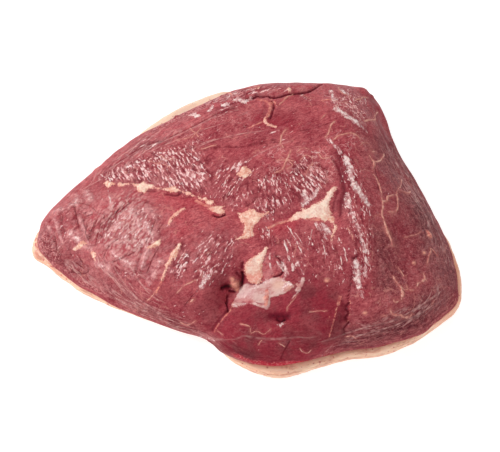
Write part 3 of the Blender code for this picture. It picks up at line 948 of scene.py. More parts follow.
# Marbling and strands: radius in pixels and the line each follows
MARBLING = [
    (1.2, [(279, 105), (285, 99), (293, 94)]),
    (1.3, [(274, 173), (282, 169), (286, 162), (287, 159), (289, 155), (291, 150)]),
    (0.9, [(277, 160), (287, 160), (294, 161)]),
    (0.9, [(287, 169), (292, 165), (289, 161)]),
    (1.3, [(280, 145), (281, 137), (284, 132), (287, 129)]),
    (0.9, [(280, 142), (283, 148)]),
    (1.2, [(325, 138), (329, 132), (331, 125), (335, 121)]),
    (1.3, [(333, 140), (338, 136), (344, 134), (353, 133), (358, 136), (360, 139)]),
    (1.1, [(361, 145), (363, 143), (368, 143), (370, 146)]),
    (1.3, [(364, 121), (369, 120), (375, 119), (375, 115), (378, 112)]),
    (1.2, [(355, 99), (360, 99), (363, 97), (368, 98)]),
    (1.1, [(338, 87), (341, 92), (345, 94), (351, 98)]),
    (0.9, [(321, 119), (326, 114)]),
    (1.5, [(369, 155), (371, 158), (374, 162), (374, 166), (373, 170)]),
    (1.3, [(374, 162), (379, 161), (383, 157), (384, 153)]),
    (2.4, [(372, 151), (375, 152)]),
    (1.2, [(373, 174), (377, 179), (380, 187), (382, 198), (383, 205), (382, 214), (384, 220)]),
    (1.3, [
        (382, 201), (387, 201), (388, 197), (393, 195), (397, 196), (398, 203), (397, 210), (393, 212),
        (388, 212),
    ]),
    (2.6, [(384, 201), (387, 201)]),
    (1.3, [(397, 196), (398, 191), (403, 191), (408, 193), (411, 191)]),
    (1.1, [(398, 191), (401, 184), (402, 179)]),
    (0.9, [(375, 216), (382, 214)]),
    (1.3, [(384, 220), (386, 226), (387, 230)]),
    (3.2, [(386, 229), (389, 234)]),
    (1.7, [(389, 234), (391, 239), (393, 246)]),
    (0.8, [(404, 237), (412, 236), (418, 234), (421, 231)]),
    (1.3, [(430, 248), (431, 251), (429, 256), (427, 264)]),
    (0.8, [(430, 248), (435, 252), (438, 257)]),
    (1.6, [(393, 276), (396, 281), (400, 286), (404, 290)]),
    (2.2, [(402, 289), (403, 293), (401, 300)]),
    (1.4, [(404, 290), (408, 289), (406, 285), (409, 290), (414, 290)]),
    (1.3, [(394, 299), (395, 302), (399, 301)]),
    (1.6, [(417, 286), (419, 283), (423, 281), (425, 278), (423, 273)]),
    (1.1, [(425, 278), (427, 281)]),
    (1.5, [(390, 309), (392, 314), (397, 315), (400, 315), (403, 317), (409, 317), (412, 314)]),
    (1.0, [(381, 316), (387, 316)]),
    (0.8, [(432, 304), (434, 300)]),
    (0.8, [(398, 267), (404, 276)]),
    (0.6, [(300, 348), (303, 352), (308, 353), (311, 350)]),
    (0.5, [(287, 311), (288, 306), (293, 300), (298, 294)]),
    (0.55, [(309, 312), (316, 311), (327, 311)]),
    (0.6, [(240, 324), (246, 325), (250, 327)]),
    (0.5, [(250, 328), (251, 333), (257, 331), (263, 334), (268, 332), (271, 329)]),
    (0.5, [(258, 345), (262, 340)]),
    (0.6, [(279, 343), (285, 347)]),
    (0.6, [(217, 331), (223, 335)]),
    (1.1, [(346, 337), (352, 336), (356, 339)]),
    (1.1, [(180, 322), (187, 325), (196, 321)]),
    (1.6, [(190, 302), (194, 299)]),
    (0.8, [(157, 289), (152, 296), (147, 301)]),
    (0.9, [(177, 293), (184, 286), (196, 280)]),
    (0.8, [(191, 138), (196, 133), (201, 128)]),
    (0.8, [(190, 128), (195, 133), (199, 137)]),
    (0.8, [(176, 140), (184, 139), (190, 137)]),
    (0.9, [(201, 149), (208, 147), (216, 145)]),
    (1.0, [(270, 227), (277, 224), (286, 221)]),
    (0.8, [(305, 175), (309, 168), (313, 163)]),
    (0.8, [(348, 227), (351, 233), (353, 240)]),
    (0.6, [(148, 160), (156, 163), (163, 161)]),
    (0.6, [(160, 155), (168, 160), (174, 158)]),
    (0.6, [(163, 164), (170, 167)]),
    (0.7, [(297, 152), (303, 148), (311, 150)]),
    (0.7, [(300, 160), (306, 155), (313, 158)]),
    (0.7, [(318, 152), (322, 158), (330, 157)]),
    (0.6, [(335, 107), (341, 103), (348, 102)]),
]
STRANDS = [
    (1.5, [(284, 240), (287, 250), (290, 262)]),
    (1.8, [(292, 263), (293, 270), (294, 274)]),
    (1.1, [(287, 225), (294, 236), (299, 246), (302, 254)]),
    (0.9, [(294, 231), (299, 237), (302, 243)]),
    (1.3, [(270, 254), (270, 262), (271, 270)]),
    (1.0, [(277, 261), (281, 267), (284, 272)]),
    (1.1, [(338, 236), (342, 244), (345, 252), (347, 262)]),
    (1.0, [(341, 256), (342, 266), (344, 276), (342, 284)]),
    (0.8, [(312, 229), (310, 240), (308, 250)]),
    (0.8, [(321, 238), (324, 246), (325, 254)]),
    (0.9, [(341, 228), (347, 229), (351, 236)]),
    (0.8, [(108, 190), (110, 199), (110, 206)]),
    (0.8, [(310, 150), (315, 153), (320, 152)]),
    (1.4, [(290, 174), (292, 171), (293, 167)]),
    (1.2, [(262, 186), (264, 182), (265, 179)]),
    (1.2, [(217, 172), (219, 168)]),
    (1.2, [(223, 186), (226, 180)]),
    (1.1, [(236, 184), (239, 180)]),
    (1.0, [(228, 196), (232, 190), (235, 186)]),
]

# Wrinkles: middle and spread of a field in pixels, degrees up from +X, width, length, height in metres
WRINKLES = [
    ((155, 172), (48, 18), -58, 0.0026, 0.0090, 0.00030),
    ((218, 185), (26, 26), 62, 0.0026, 0.0080, 0.00018),
    ((268, 195), (30, 20), 78, 0.0024, 0.0050, 0.00018),
    ((312, 182), (20, 24), -55, 0.0026, 0.0110, 0.00030),
    ((200, 265), (42, 30), 58, 0.0028, 0.0100, 0.00026),
    ((128, 225), (40, 28), 50, 0.0032, 0.0080, 0.00026),
    ((75, 235), (30, 35), 20, 0.0046, 0.0080, 0.00045),
    ((300, 250), (32, 32), -66, 0.0028, 0.0200, 0.00022),
    ((250, 125), (95, 38), 16, 0.0030, 0.0240, 0.00012),
    ((352, 160), (22, 70), -62, 0.0034, 0.0140, 0.00030),
    ((350, 250), (20, 50), -80, 0.0032, 0.0180, 0.00030),
    ((250, 335), (60, 22), 6, 0.0034, 0.0120, 0.00022),
    ((190, 115), (65, 14), 33, 0.0040, 0.0100, 0.00040),
]

# The tables by the name of the value that each becomes on the muscle
SHADES = {
    "pale": PALE_AND_SHEEN_PLACES,
    "wet_and_shade": WET_AND_SHADE_PLACES,
    "dull_and_shade": DULL_AND_SHADE_PLACES,
    "flush": FLUSH_PLACES,
    "cream": CREAM_PLACES,
    "crust": CRUST_PLACES,
}
ZONES = {
    "falling": FALLING,
    "rising": RISING,
    "steep": STEEP,
    "along": ALONG,
    "beads": BEADS,
    "net": NETS,
}

# What lies on the muscle: its height, where the rise starts and is full, how lumpy it is and lump size
LAID_ON = {
    "fat": (0.00070, -0.0003, 0.0010, 0.6, 0.003),
    "pink_fat": (0.00035, -0.0004, 0.0008, 0.0, 0.003),
    "silverskin": (0.00100, -0.0008, 0.0020, 0.4, 0.006),
    "bloom": (0.00060, -0.0010, 0.0016, 0.0, 0.003),
}
LUMP_SEED = 2.0

# Layers of noise: strength, grain size in metres and seed
MUSCLE_UNEVEN = ((0.00045, 0.014, 3.1), (0.00028, 0.0065, 7.7))
RAGGED_EDGES = ((0.40, 0.0035, 11.0), (0.35, 0.0016, 13.0))
FAT_SIDES_UNEVEN = ((0.0005, 0.009, 1.3), (0.00025, 0.003, 4.1))
FAT_TOP_UNEVEN = (0.0002, 0.004, 2.2)
FAT_DIMPLES = ((0.0010, 0.011, 9.0), (0.0003, 0.004, 6.0))
VEIN_UNEVEN = ((0.35, 0.0014, 9), (0.22, 0.0045, 5))

# Wrinkle fields: how each fades out, how far its wrinkles swirl, and its shares of waves and of ridges
FIELD_POWER = 1.5
FIELD_END = 0.03
SWIRL_REACH = 0.0014
SWIRL_SIZE = 0.012
WAVE_SHARE = 0.9
WAVE_SEED = 0.37
RIDGE_SHARE = 0.5
RIDGE_SIZE = 1.6
RIDGE_SEED = 5.0
RIDGE_TURN = 0.11

# A groove this deep is a full crevice, and a wrinkle line's dip is this much wider than its dark line of
# painted shade
FULL_CREVICE = 0.0013
LINE_DIP = 1.6

# Heights over which relief fades out at the foot, and the spread and added height of its bare stretch
FOOT_FADE = (0.0005, 0.004)
BARE_SPREAD = 0.008
BARE_LIFT = 6

# Where a point counts as side, slope, top or underside, from how far its normal points up
MUSCLE_SIDE = (0.75, 0.25)
MUSCLE_SLOPE = (0.97, 0.88)
MUSCLE_UNDERSIDE = -0.3
FAT_SIDE = (0.9, 0.3)
FAT_TOP = (0.3, 0.9)
FAT_UNDERSIDE = (-0.6, -0.95)

# The fat cap's tints fade in along X and along Y in metres, and its painted top-edge highlight with the share
# of its height
TAN_ALONG = (0.105, 0.128)
CREAM_BACK = (0.02, 0.05)
TOP_EDGE_HIGHLIGHT = (0.50, 0.90)

# Marbling and strands as tubes: steps along the line, sides, lumps, taper of the ends and depth in the meat
VEIN_CURVE_STEPS = 10
VEIN_STEP = 0.0005
VEIN_SIDES = 6
VEIN_LUMPS = 0.00012
LUMP_FINENESS = 900.0
TAPER_LENGTH = 1.6
TIP_SHARE = 0.35
MARBLING_SINK = 0.66
STRAND_SINK = 0.80

# How far a tube wanders over two sizes, in metres, and the seeds of both for each axis and for each tube
VEIN_WANDER = ((0.00050, 0.0028), (0.00025, 0.0011))
WANDER_SEEDS = ((0, 20), (50, 70))
VEIN_SEED_STEP = 3.7


def foot_height(x):
    """Height of the muscle's foot above the table, along the length, from the frame's fat cap."""
    low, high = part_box("fat_cap")
    muscle_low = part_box("lean")[0]
    share = (x - low.x) / (high.x - low.x)
    return muscle_low.z + share * (high.z - muscle_low.z)


def add_wrinkles(rise, marks):
    """Adds the fields of wrinkles to the rise of each point, each field in its own direction."""
    places = marks.places
    plan = places[:, :2]
    for pixel, spread, angle, width, length, height in WRINKLES:
        offset = (plan - spot(marks.tree, *pixel)[:2]) / (np.array(spread) * PIXEL)
        weight = bell((offset**2).sum(axis=1), 1, FIELD_POWER)
        near = weight > FIELD_END
        turn = math.radians(angle)
        along = plan[near] @ np.array([math.cos(turn), math.sin(turn)])
        across = plan[near] @ np.array([-math.sin(turn), math.cos(turn)])
        across = across + noise_at(places[near], SWIRL_SIZE, angle) * SWIRL_REACH
        field = np.column_stack([along / length, across / width, places[near][:, 2] / width * 0.5])
        waves = noise_at(field, 1, angle * WAVE_SEED)
        ridges = 1 - 2 * np.abs(noise_at(field, RIDGE_SIZE, RIDGE_SEED + angle * RIDGE_TURN))
        rise[near] += weight[near] * height * (WAVE_SHARE * waves + RIDGE_SHARE * ridges)


def dressed_muscle():
    tree = smooth_tree("lean", 2)
    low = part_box("lean")[0].z
    reach = reach_by_bearing(tree, low + MUSCLE_REACH_HEIGHTS[0], low + MUSCLE_REACH_HEIGHTS[1])
    turns = np.linspace(90, MUSCLE_LAST_TURN, MUSCLE_FOOT_ROWS + 1)[1:]
    rows = [(MUSCLE_CORE_INSET, turn) for turn in turns]
    core = (MUSCLE_CORE_INSET, MUSCLE_CORE_HEIGHT, MUSCLE_SHOULDER_ARC)
    skin = wrapped_skin("muscle", tree, reach, MUSCLE_CELLS, *core, 0, rows)
    places = vectors_of(skin, "co")
    normals = vectors_of(skin, "normal")
    facing_up = normals[:, 2]
    marks = Marks(tree, places, normals)
    rise = layered_noise(places, MUSCLE_UNEVEN)
    add_wrinkles(rise, marks)

    # Grooves, folds, wrinkle lines and knots
    ragged = layered_noise(places, RAGGED_EDGES, 1)
    crevice = np.zeros(len(places))
    for depth, half_width, line in GROOVES:
        press = bell(marks.from_line(line), half_width * ragged)
        rise -= depth * press
        crevice = np.maximum(crevice, min(depth / FULL_CREVICE, 1) * press)
    for height, half_width, line in FOLDS:
        rise += height * bell(marks.from_line(line), half_width)
    for height, spread, pixel in NUDGES:
        rise += height * bell(marks.from_spot(pixel), spread)
    wrinkle = np.full(len(places), FAR_OUTSIDE)
    for half_width, depth, line in WRINKLE_LINES:
        distance = marks.from_line(line)
        rise -= depth * bell(distance, LINE_DIP * half_width * PIXEL)
        wrinkle = np.maximum(wrinkle, half_width * PIXEL * ragged - distance)
    knot = np.zeros(len(places))
    for radius, height, pixel in KNOTS:
        bulge = bell(marks.from_spot(pixel), radius, 4)
        rise += height * bulge
        knot = np.maximum(knot, bulge)

    # Fat, silverskin, painted sheen and other marks that lie on the muscle
    depths = {
        "fat": marks.depth(FAT_LINES, FAT_PATCHES),
        "pink_fat": marks.depth(PINK_LINES),
        "silverskin": marks.depth(SILVER_SHREDS, [SILVERSKIN]),
        "painted_sheen": marks.depth(SHEEN_PLACES),
        "veil": marks.depth(VEIL_LINES),
        "vein": marks.depth(MARBLING),
        "bloom": marks.depth(BLOOM_LINES),
        "wrinkle": wrinkle,
    }
    for name, (height, start, full, lumpy, lump_size) in LAID_ON.items():
        lumps = 1 + lumpy * noise_at(places, lump_size, LUMP_SEED)
        rise += height * smooth_step(start, full, depths[name]) * lumps

    # Values for the material
    bare = bell(marks.from_line(BARE_FOOT), BARE_SPREAD)
    above_foot = places[:, 2] - foot_height(places[:, 0])
    values = {name: depth * MILLIMETRES for name, depth in depths.items()}
    values.update({name: marks.shade(lines) for name, lines in SHADES.items()})
    values.update({name: marks.zone(outlines) for name, outlines in ZONES.items()})
    values.update({
        "veil_across": marks.across(VEIL_LINES),
        "wrinkle_across": marks.across([(half_width, line) for half_width, _, line in WRINKLE_LINES]),
        "crevice": crevice,
        "knot": knot,
        "side": smooth_step(*MUSCLE_SIDE, facing_up),
        "slope": smooth_step(*MUSCLE_SLOPE, facing_up),
        "foot": above_foot * MILLIMETRES + BARE_LIFT * bare,
    })
    for name, value in values.items():
        keep_value(skin, name, value)
    move_out(skin, rise * np.where(facing_up > MUSCLE_UNDERSIDE, smooth_step(*FOOT_FADE, above_foot), 0))
    return skin


def dressed_fat_cap():
    tree = smooth_tree("fat_cap", 1)
    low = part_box("fat_cap")[0].z
    reach = reach_by_bearing(tree, low + FAT_REACH_HEIGHTS[0], low + FAT_REACH_HEIGHTS[1])
    rows = [(FAT_CORE_INSET, turn) for turn in np.linspace(90, 0, FAT_RIM_ROWS + 1)[1:]]
    rows += [(FAT_CORE_INSET + ledge, 0) for ledge in np.linspace(0, FAT_LEDGE_WIDTH, FAT_LEDGE_ROWS + 1)[1:]]
    core = (FAT_CORE_INSET, FAT_CORE_HEIGHT, FAT_SHOULDER_ARC)
    skin = wrapped_skin("fat_cap_dressed", tree, reach, FAT_CELLS, *core, 180, rows)
    places = vectors_of(skin, "co")
    normals = vectors_of(skin, "normal")
    marks = Marks(tree, places, normals)
    facing_up = normals[:, 2]
    sides = smooth_step(*FAT_SIDE, np.abs(facing_up))
    rise = sides * layered_noise(places, FAT_SIDES_UNEVEN)
    strength, size, seed = FAT_TOP_UNEVEN
    rise += smooth_step(*FAT_TOP, facing_up) * strength * noise_at(places, size, seed)
    dimples = sum(deep * np.minimum(noise_at(places, size, seed), 0) for deep, size, seed in FAT_DIMPLES)
    rise += smooth_step(*FAT_UNDERSIDE, facing_up) * dimples
    for height, spread, pixel in FAT_NUDGES:
        rise += sides * height * bell(marks.from_spot(pixel), spread)
    move_out(skin, rise)
    keep_value(skin, "tan", smooth_step(*TAN_ALONG, places[:, 0]))
    keep_value(skin, "cream", smooth_step(*CREAM_BACK, places[:, 1]))
    keep_value(skin, "top_edge_highlight", smooth_step(*TOP_EDGE_HIGHLIGHT, places[:, 2] / foot_height(places[:, 0])))
    return skin


def tree_of(skin):
    data = skin.data
    corners = [tuple(face.vertices) for face in data.polygons]
    return BVHTree.FromPolygons([point.co.copy() for point in data.vertices], corners)


def fill_inputs(tree, node, inputs):
    """Gives a node's inputs their values or links."""
    for key, value in inputs.items():
        if isinstance(value, bpy.types.NodeSocket):
            tree.links.new(value, node.inputs[key])
        else:
            node.inputs[key].default_value = value


def add_node(tree, kind, inputs=None, **settings):
    node = tree.nodes.new(kind)
    for key, value in settings.items():
        setattr(node, key, value)
    fill_inputs(tree, node, inputs or {})
    return node


def tube_nodes(material):
    """A node tree that turns lines into round tubes, each point as thick as its own radius."""
    tree = bpy.data.node_groups.new("Tubes along lines", "GeometryNodeTree")
    sockets = {}
    for name, kind in (("Lines", "Geometry"), ("Sides", "Int"), ("Lumps", "Float")):
        socket = tree.interface.new_socket(name, in_out="INPUT", socket_type="NodeSocket" + kind)
        sockets[name] = socket.identifier
    tree.interface.new_socket("Tubes", in_out="OUTPUT", socket_type="NodeSocketGeometry")
    given = add_node(tree, "NodeGroupInput").outputs
    line = add_node(tree, "GeometryNodeMeshToCurve", {"Mesh": given["Lines"]})
    thickness = add_node(tree, "GeometryNodeInputNamedAttribute", {"Name": "thickness"}, data_type="FLOAT")
    round_profile = {"Resolution": given["Sides"], "Radius": 1.0}
    profile = add_node(tree, "GeometryNodeCurvePrimitiveCircle", round_profile)
    tube = add_node(tree, "GeometryNodeCurveToMesh", {
        "Curve": line.outputs["Curve"],
        "Profile Curve": profile.outputs["Curve"],
        "Scale": thickness.outputs["Attribute"],
        "Fill Caps": True,
    })
    lump = add_node(tree, "ShaderNodeTexNoise", {"Scale": LUMP_FINENESS}).outputs["Color"]
    centred = add_node(tree, "ShaderNodeVectorMath", {0: lump, 1: (0.5, 0.5, 0.5)}, operation="SUBTRACT")
    pushed = {0: centred.outputs[0], "Scale": given["Lumps"]}
    push = add_node(tree, "ShaderNodeVectorMath", pushed, operation="SCALE")
    moved = {"Geometry": tube.outputs["Mesh"], "Offset": push.outputs[0]}
    shift = add_node(tree, "GeometryNodeSetPosition", moved)
    realize = add_node(tree, "GeometryNodeRealizeInstances", {"Geometry": shift.outputs["Geometry"]})
    painted = {"Geometry": realize.outputs["Geometry"], "Material": material}
    paint = add_node(tree, "GeometryNodeSetMaterial", painted)
    add_node(tree, "NodeGroupOutput", {"Tubes": paint.outputs["Geometry"]})
    return tree, sockets


def made_plain(worked, name):
    """The evaluated result of an object as a plain mesh object."""
    graph = bpy.context.evaluated_depsgraph_get()
    data = bpy.data.meshes.new_from_object(worked.evaluated_get(graph))
    bpy.data.objects.remove(worked)
    data.name = name
    data.shade_smooth()
    return placed(name, data)


def veins(name, tree, table, sink, material, seed):
    """Half-sunk tubes of fat or sinew along lines on the muscle, thinner towards their ends."""
    places, links, radii = [], [], []
    for number, (radius, pixels) in enumerate(table):
        line = smooth_line(np.array([spot(tree, x, y) for x, y in pixels]), VEIN_CURVE_STEPS)
        lengths = np.concatenate([[0], np.cumsum(np.linalg.norm(np.diff(line, axis=0), axis=1))])
        stations = np.linspace(0, lengths[-1], max(3, int(lengths[-1] / VEIN_STEP) + 1))
        line = np.column_stack([np.interp(stations, lengths, line[:, axis]) for axis in range(3)])
        shake = seed + number * VEIN_SEED_STEP
        for axis, seeds in enumerate(WANDER_SEEDS):
            layers = [(reach, size, shake + more) for (reach, size), more in zip(VEIN_WANDER, seeds)]
            line[:, axis] += layered_noise(line, layers)
        ends = np.minimum(stations, lengths[-1] - stations) / (TAPER_LENGTH * radius * PIXEL)
        even = radius * PIXEL * (TIP_SHARE + (1 - TIP_SHARE) * smooth_step(0, 1, ends))
        layers = [(strength, size, shake + more) for strength, size, more in VEIN_UNEVEN]
        radii.extend(even * layered_noise(line, layers, 1))
        first = len(places)
        for place, usual in zip(line, even):
            near, normal, _, _ = tree.find_nearest(Vector(place))
            places.append(near - normal * usual * sink)
        links += [(index, index + 1) for index in range(first, len(places) - 1)]
    data = bpy.data.meshes.new(name)
    data.from_pydata(places, links, [])
    lines = placed(name, data)
    keep_value(lines, "thickness", radii)
    modifier = lines.modifiers.new("Tubes", "NODES")
    modifier.node_group, sockets = tube_nodes(material)
    modifier[sockets["Sides"]] = VEIN_SIDES
    modifier[sockets["Lumps"]] = VEIN_LUMPS
    return made_plain(lines, name)


# Materials


def colour(red, green, blue):
    """A linear colour from screen values of 0 to 255."""
    screen = np.array([red, green, blue]) / 255
    linear = np.where(screen <= 0.04045, screen / 12.92, ((screen + 0.055) / 1.055) ** 2.4)
    return (*linear.tolist(), 1.0)


def pair(first, second):
    """Two linear colours from screen values."""
    return colour(*first), colour(*second)


# Pairs of colours: for the low and the high end of a texture, or for its dark and its pale specks
FLESH = pair((166, 66, 75), (192, 94, 98))
FIBRES = pair((116, 24, 42), (204, 104, 106))
MOTTLES = pair((126, 30, 48), (204, 108, 110))
DULL_AND_SHADED_FLESH = pair((131, 79, 78), (78, 28, 38))
WET_AND_SHADED_FLESH = pair((134, 28, 46), (84, 12, 28))
FINE_SPECKS = pair((104, 20, 36), (214, 126, 126))
GRIT_SPECKS = pair((100, 20, 36), (220, 138, 138))
BEADS_PALE_AND_SHEEN = pair((240, 196, 190), (216, 146, 142))
FOLD_SHADE_AND_HIGHLIGHT = pair((112, 20, 36), (226, 158, 156))
PAINTED_GLINTS = pair((248, 222, 218), (224, 168, 166))
RIM_LINES = pair((102, 28, 42), (212, 164, 158))
FOOT = pair((144, 34, 48), (212, 46, 68))
DRY_CRUST = pair((216, 144, 142), (136, 48, 58))
WET_CRUST = pair((234, 140, 138), (186, 30, 54))
SILVER = pair((196, 126, 124), (220, 182, 174))
SILVER_SPECKS = pair((176, 96, 98), (240, 214, 208))
WRINKLE_SHADE = pair((132, 32, 46), (176, 56, 74))
CREVICE_SHADE = pair((104, 16, 34), (50, 6, 16))
SHEEN_TONES = pair((246, 222, 216), (204, 144, 144))
PINK_FAT = pair((228, 150, 132), (198, 96, 92))
FAT_TINT = pair((224, 158, 136), (246, 210, 186))
FAT_STREAKS = pair((214, 124, 110), (253, 232, 212))
FAT_SPECKS = pair((218, 132, 118), (255, 240, 224))
CAP_BODY = pair((240, 179, 146), (252, 208, 174))
CAP_LAYERS = pair((208, 130, 112), (248, 208, 178))
CAP_FIBRES = pair((206, 128, 104), (252, 222, 194))
MARBLING_FAT = pair((190, 104, 96), (218, 152, 136))
WHITE_SINEW = pair((208, 146, 144), (238, 210, 204))

# Direction of the grain down the flank, in degrees
FLANK_ANGLE = -66

# Wrinkles with painted glints: the zone's value, direction, fineness and stretch of its wrinkles
STROKES = (
    ("falling", -60, 430, 2.6),
    ("rising", 57, 400, 2.2),
    ("steep", -78, 480, 2.6),
    ("along", 26, 420, 4.0),
)


class Shader:
    """A small helper that builds a material's node tree."""

    def __init__(self, name):
        self.material = bpy.data.materials.new(name)
        self.material.use_nodes = True
        self.tree = self.material.node_tree

    @cached_property
    def where(self):
        return self.node("ShaderNodeTexCoord").outputs["Object"]

    def node(self, kind, inputs=None, **settings):
        return add_node(self.tree, kind, inputs, **settings)

    def finished(self, surface):
        """The material, with the values or links of its surface."""
        fill_inputs(self.tree, self.tree.nodes["Principled BSDF"], surface)
        return self.material

    def value(self, name):
        return self.node("ShaderNodeAttribute", attribute_name=name).outputs["Fac"]

    def maths(self, operation, first, second=0.0, third=0.0):
        return self.node("ShaderNodeMath", {0: first, 1: second, 2: third}, operation=operation).outputs[0]

    def times(self, first, *others):
        for other in others:
            first = self.maths("MULTIPLY", first, other)
        return first

    def step(self, value, low, high, to_low=0.0, to_high=1.0):
        span = {"Value": value, "From Min": low, "From Max": high, "To Min": to_low, "To Max": to_high}
        return self.node("ShaderNodeMapRange", span, interpolation_type="SMOOTHSTEP").outputs[0]

    def mix(self, share, first, second):
        inputs = {0: share, 6: first, 7: second}
        return self.node("ShaderNodeMix", inputs, data_type="RGBA", clamp_factor=True).outputs[2]

    def blend(self, share, first, second):
        return self.node("ShaderNodeMix", {0: share, 2: first, 3: second}, data_type="FLOAT").outputs[0]

    def between(self, texture, low, high, tones):
        """The first tone where the texture is at low, and the second where it is at high."""
        return self.mix(self.step(texture, low, high), *tones)

    def specked(self, base, tones, dark, pale):
        """Dark and then pale specks on a colour: for each its texture, two limits and share."""
        for tone, (texture, low, high, share) in zip(tones, (dark, pale)):
            base = self.mix(self.step(texture, low, high, 0.0, share), base, tone)
        return base

    def noise(self, scale, detail=2.0, roughness=0.5, where=None, output="Fac"):
        inputs = {"Vector": where or self.where, "Scale": scale, "Detail": detail, "Roughness": roughness}
        return self.node("ShaderNodeTexNoise", inputs).outputs[output]

    def cells(self, where, scale, feature="DISTANCE_TO_EDGE"):
        inputs = {"Vector": where, "Scale": scale}
        return self.node("ShaderNodeTexVoronoi", inputs, feature=feature).outputs["Distance"]

    def shifted(self, scale, detail, roughness, reach, where=None):
        """Coordinates pushed about by a noise, by up to half of reach each way."""
        push = self.noise(scale, detail, roughness, output="Color")
        inputs = {0: push, 1: (reach, reach, reach), 2: where or self.where}
        return self.node("ShaderNodeVectorMath", inputs, operation="MULTIPLY_ADD").outputs[0]

    def turned(self, angle, stretch, where=None):
        """Coordinates turned in plan by an angle and squeezed along the first axis, for grain."""
        turn = (0, 0, math.radians(angle))
        inputs = {"Vector": where or self.where, "Rotation": turn, "Scale": (stretch, 1, 1)}
        return self.node("ShaderNodeMapping", inputs, vector_type="TEXTURE").outputs[0]

    def stretched(self, stretch, where=None):
        """Coordinates squeezed in plan, so that a pattern runs level round the sides."""
        squeeze = {"Vector": where or self.where, "Scale": (stretch, stretch, 1)}
        return self.node("ShaderNodeMapping", squeeze, vector_type="TEXTURE").outputs[0]

    def frayed(self, distance, *textures):
        """A distance to an edge, shifted to and fro by textures: each with its reach."""
        for texture, reach in textures:
            distance = self.maths("MULTIPLY_ADD", self.maths("SUBTRACT", texture, 0.5), reach, distance)
        return distance

    def level_line(self, texture, level):
        """A thin line where the texture passes a level."""
        return self.step(self.maths("ABSOLUTE", self.maths("SUBTRACT", texture, level)), 0.040, 0.010)

    def relief(self, *layers):
        """One relief over another: the height, how far it stands out in metres, and its strength."""
        normal = None
        for height, distance, strength in layers:
            inputs = {"Height": height, "Distance": distance, "Strength": strength}
            if normal is not None:
                inputs["Normal"] = normal
            normal = self.node("ShaderNodeBump", inputs).outputs[0]
        return normal


def wrinkles_and_painted_glints(s):
    """Height of the fine wrinkles around zero, the strength of the painted glints on them, and the zones that
    have them.
    """
    height = 0.0
    painted_glints = -1.0
    zones = 0.0
    bent = s.shifted(240, 2, 0.5, 0.0024)
    clusters = s.frayed(-0.80, (s.noise(130, 3, 0.6), 0.40))
    for name, angle, scale, stretch in STROKES:
        weight = s.value(name)
        grain = s.noise(scale, 3, 0.55, s.turned(angle, stretch, bent))
        height = s.maths("ADD", height, s.times(s.maths("SUBTRACT", grain, 0.5), weight))
        thin = s.noise(scale * 2.0, 2, 0.55, s.turned(angle, stretch * 1.4, bent))
        thin = s.maths("MULTIPLY_ADD", weight, 0.27, s.maths("ADD", thin, clusters))
        painted_glints = s.maths("MAXIMUM", painted_glints, thin)
        zones = s.maths("MAXIMUM", zones, weight)
    return height, painted_glints, zones


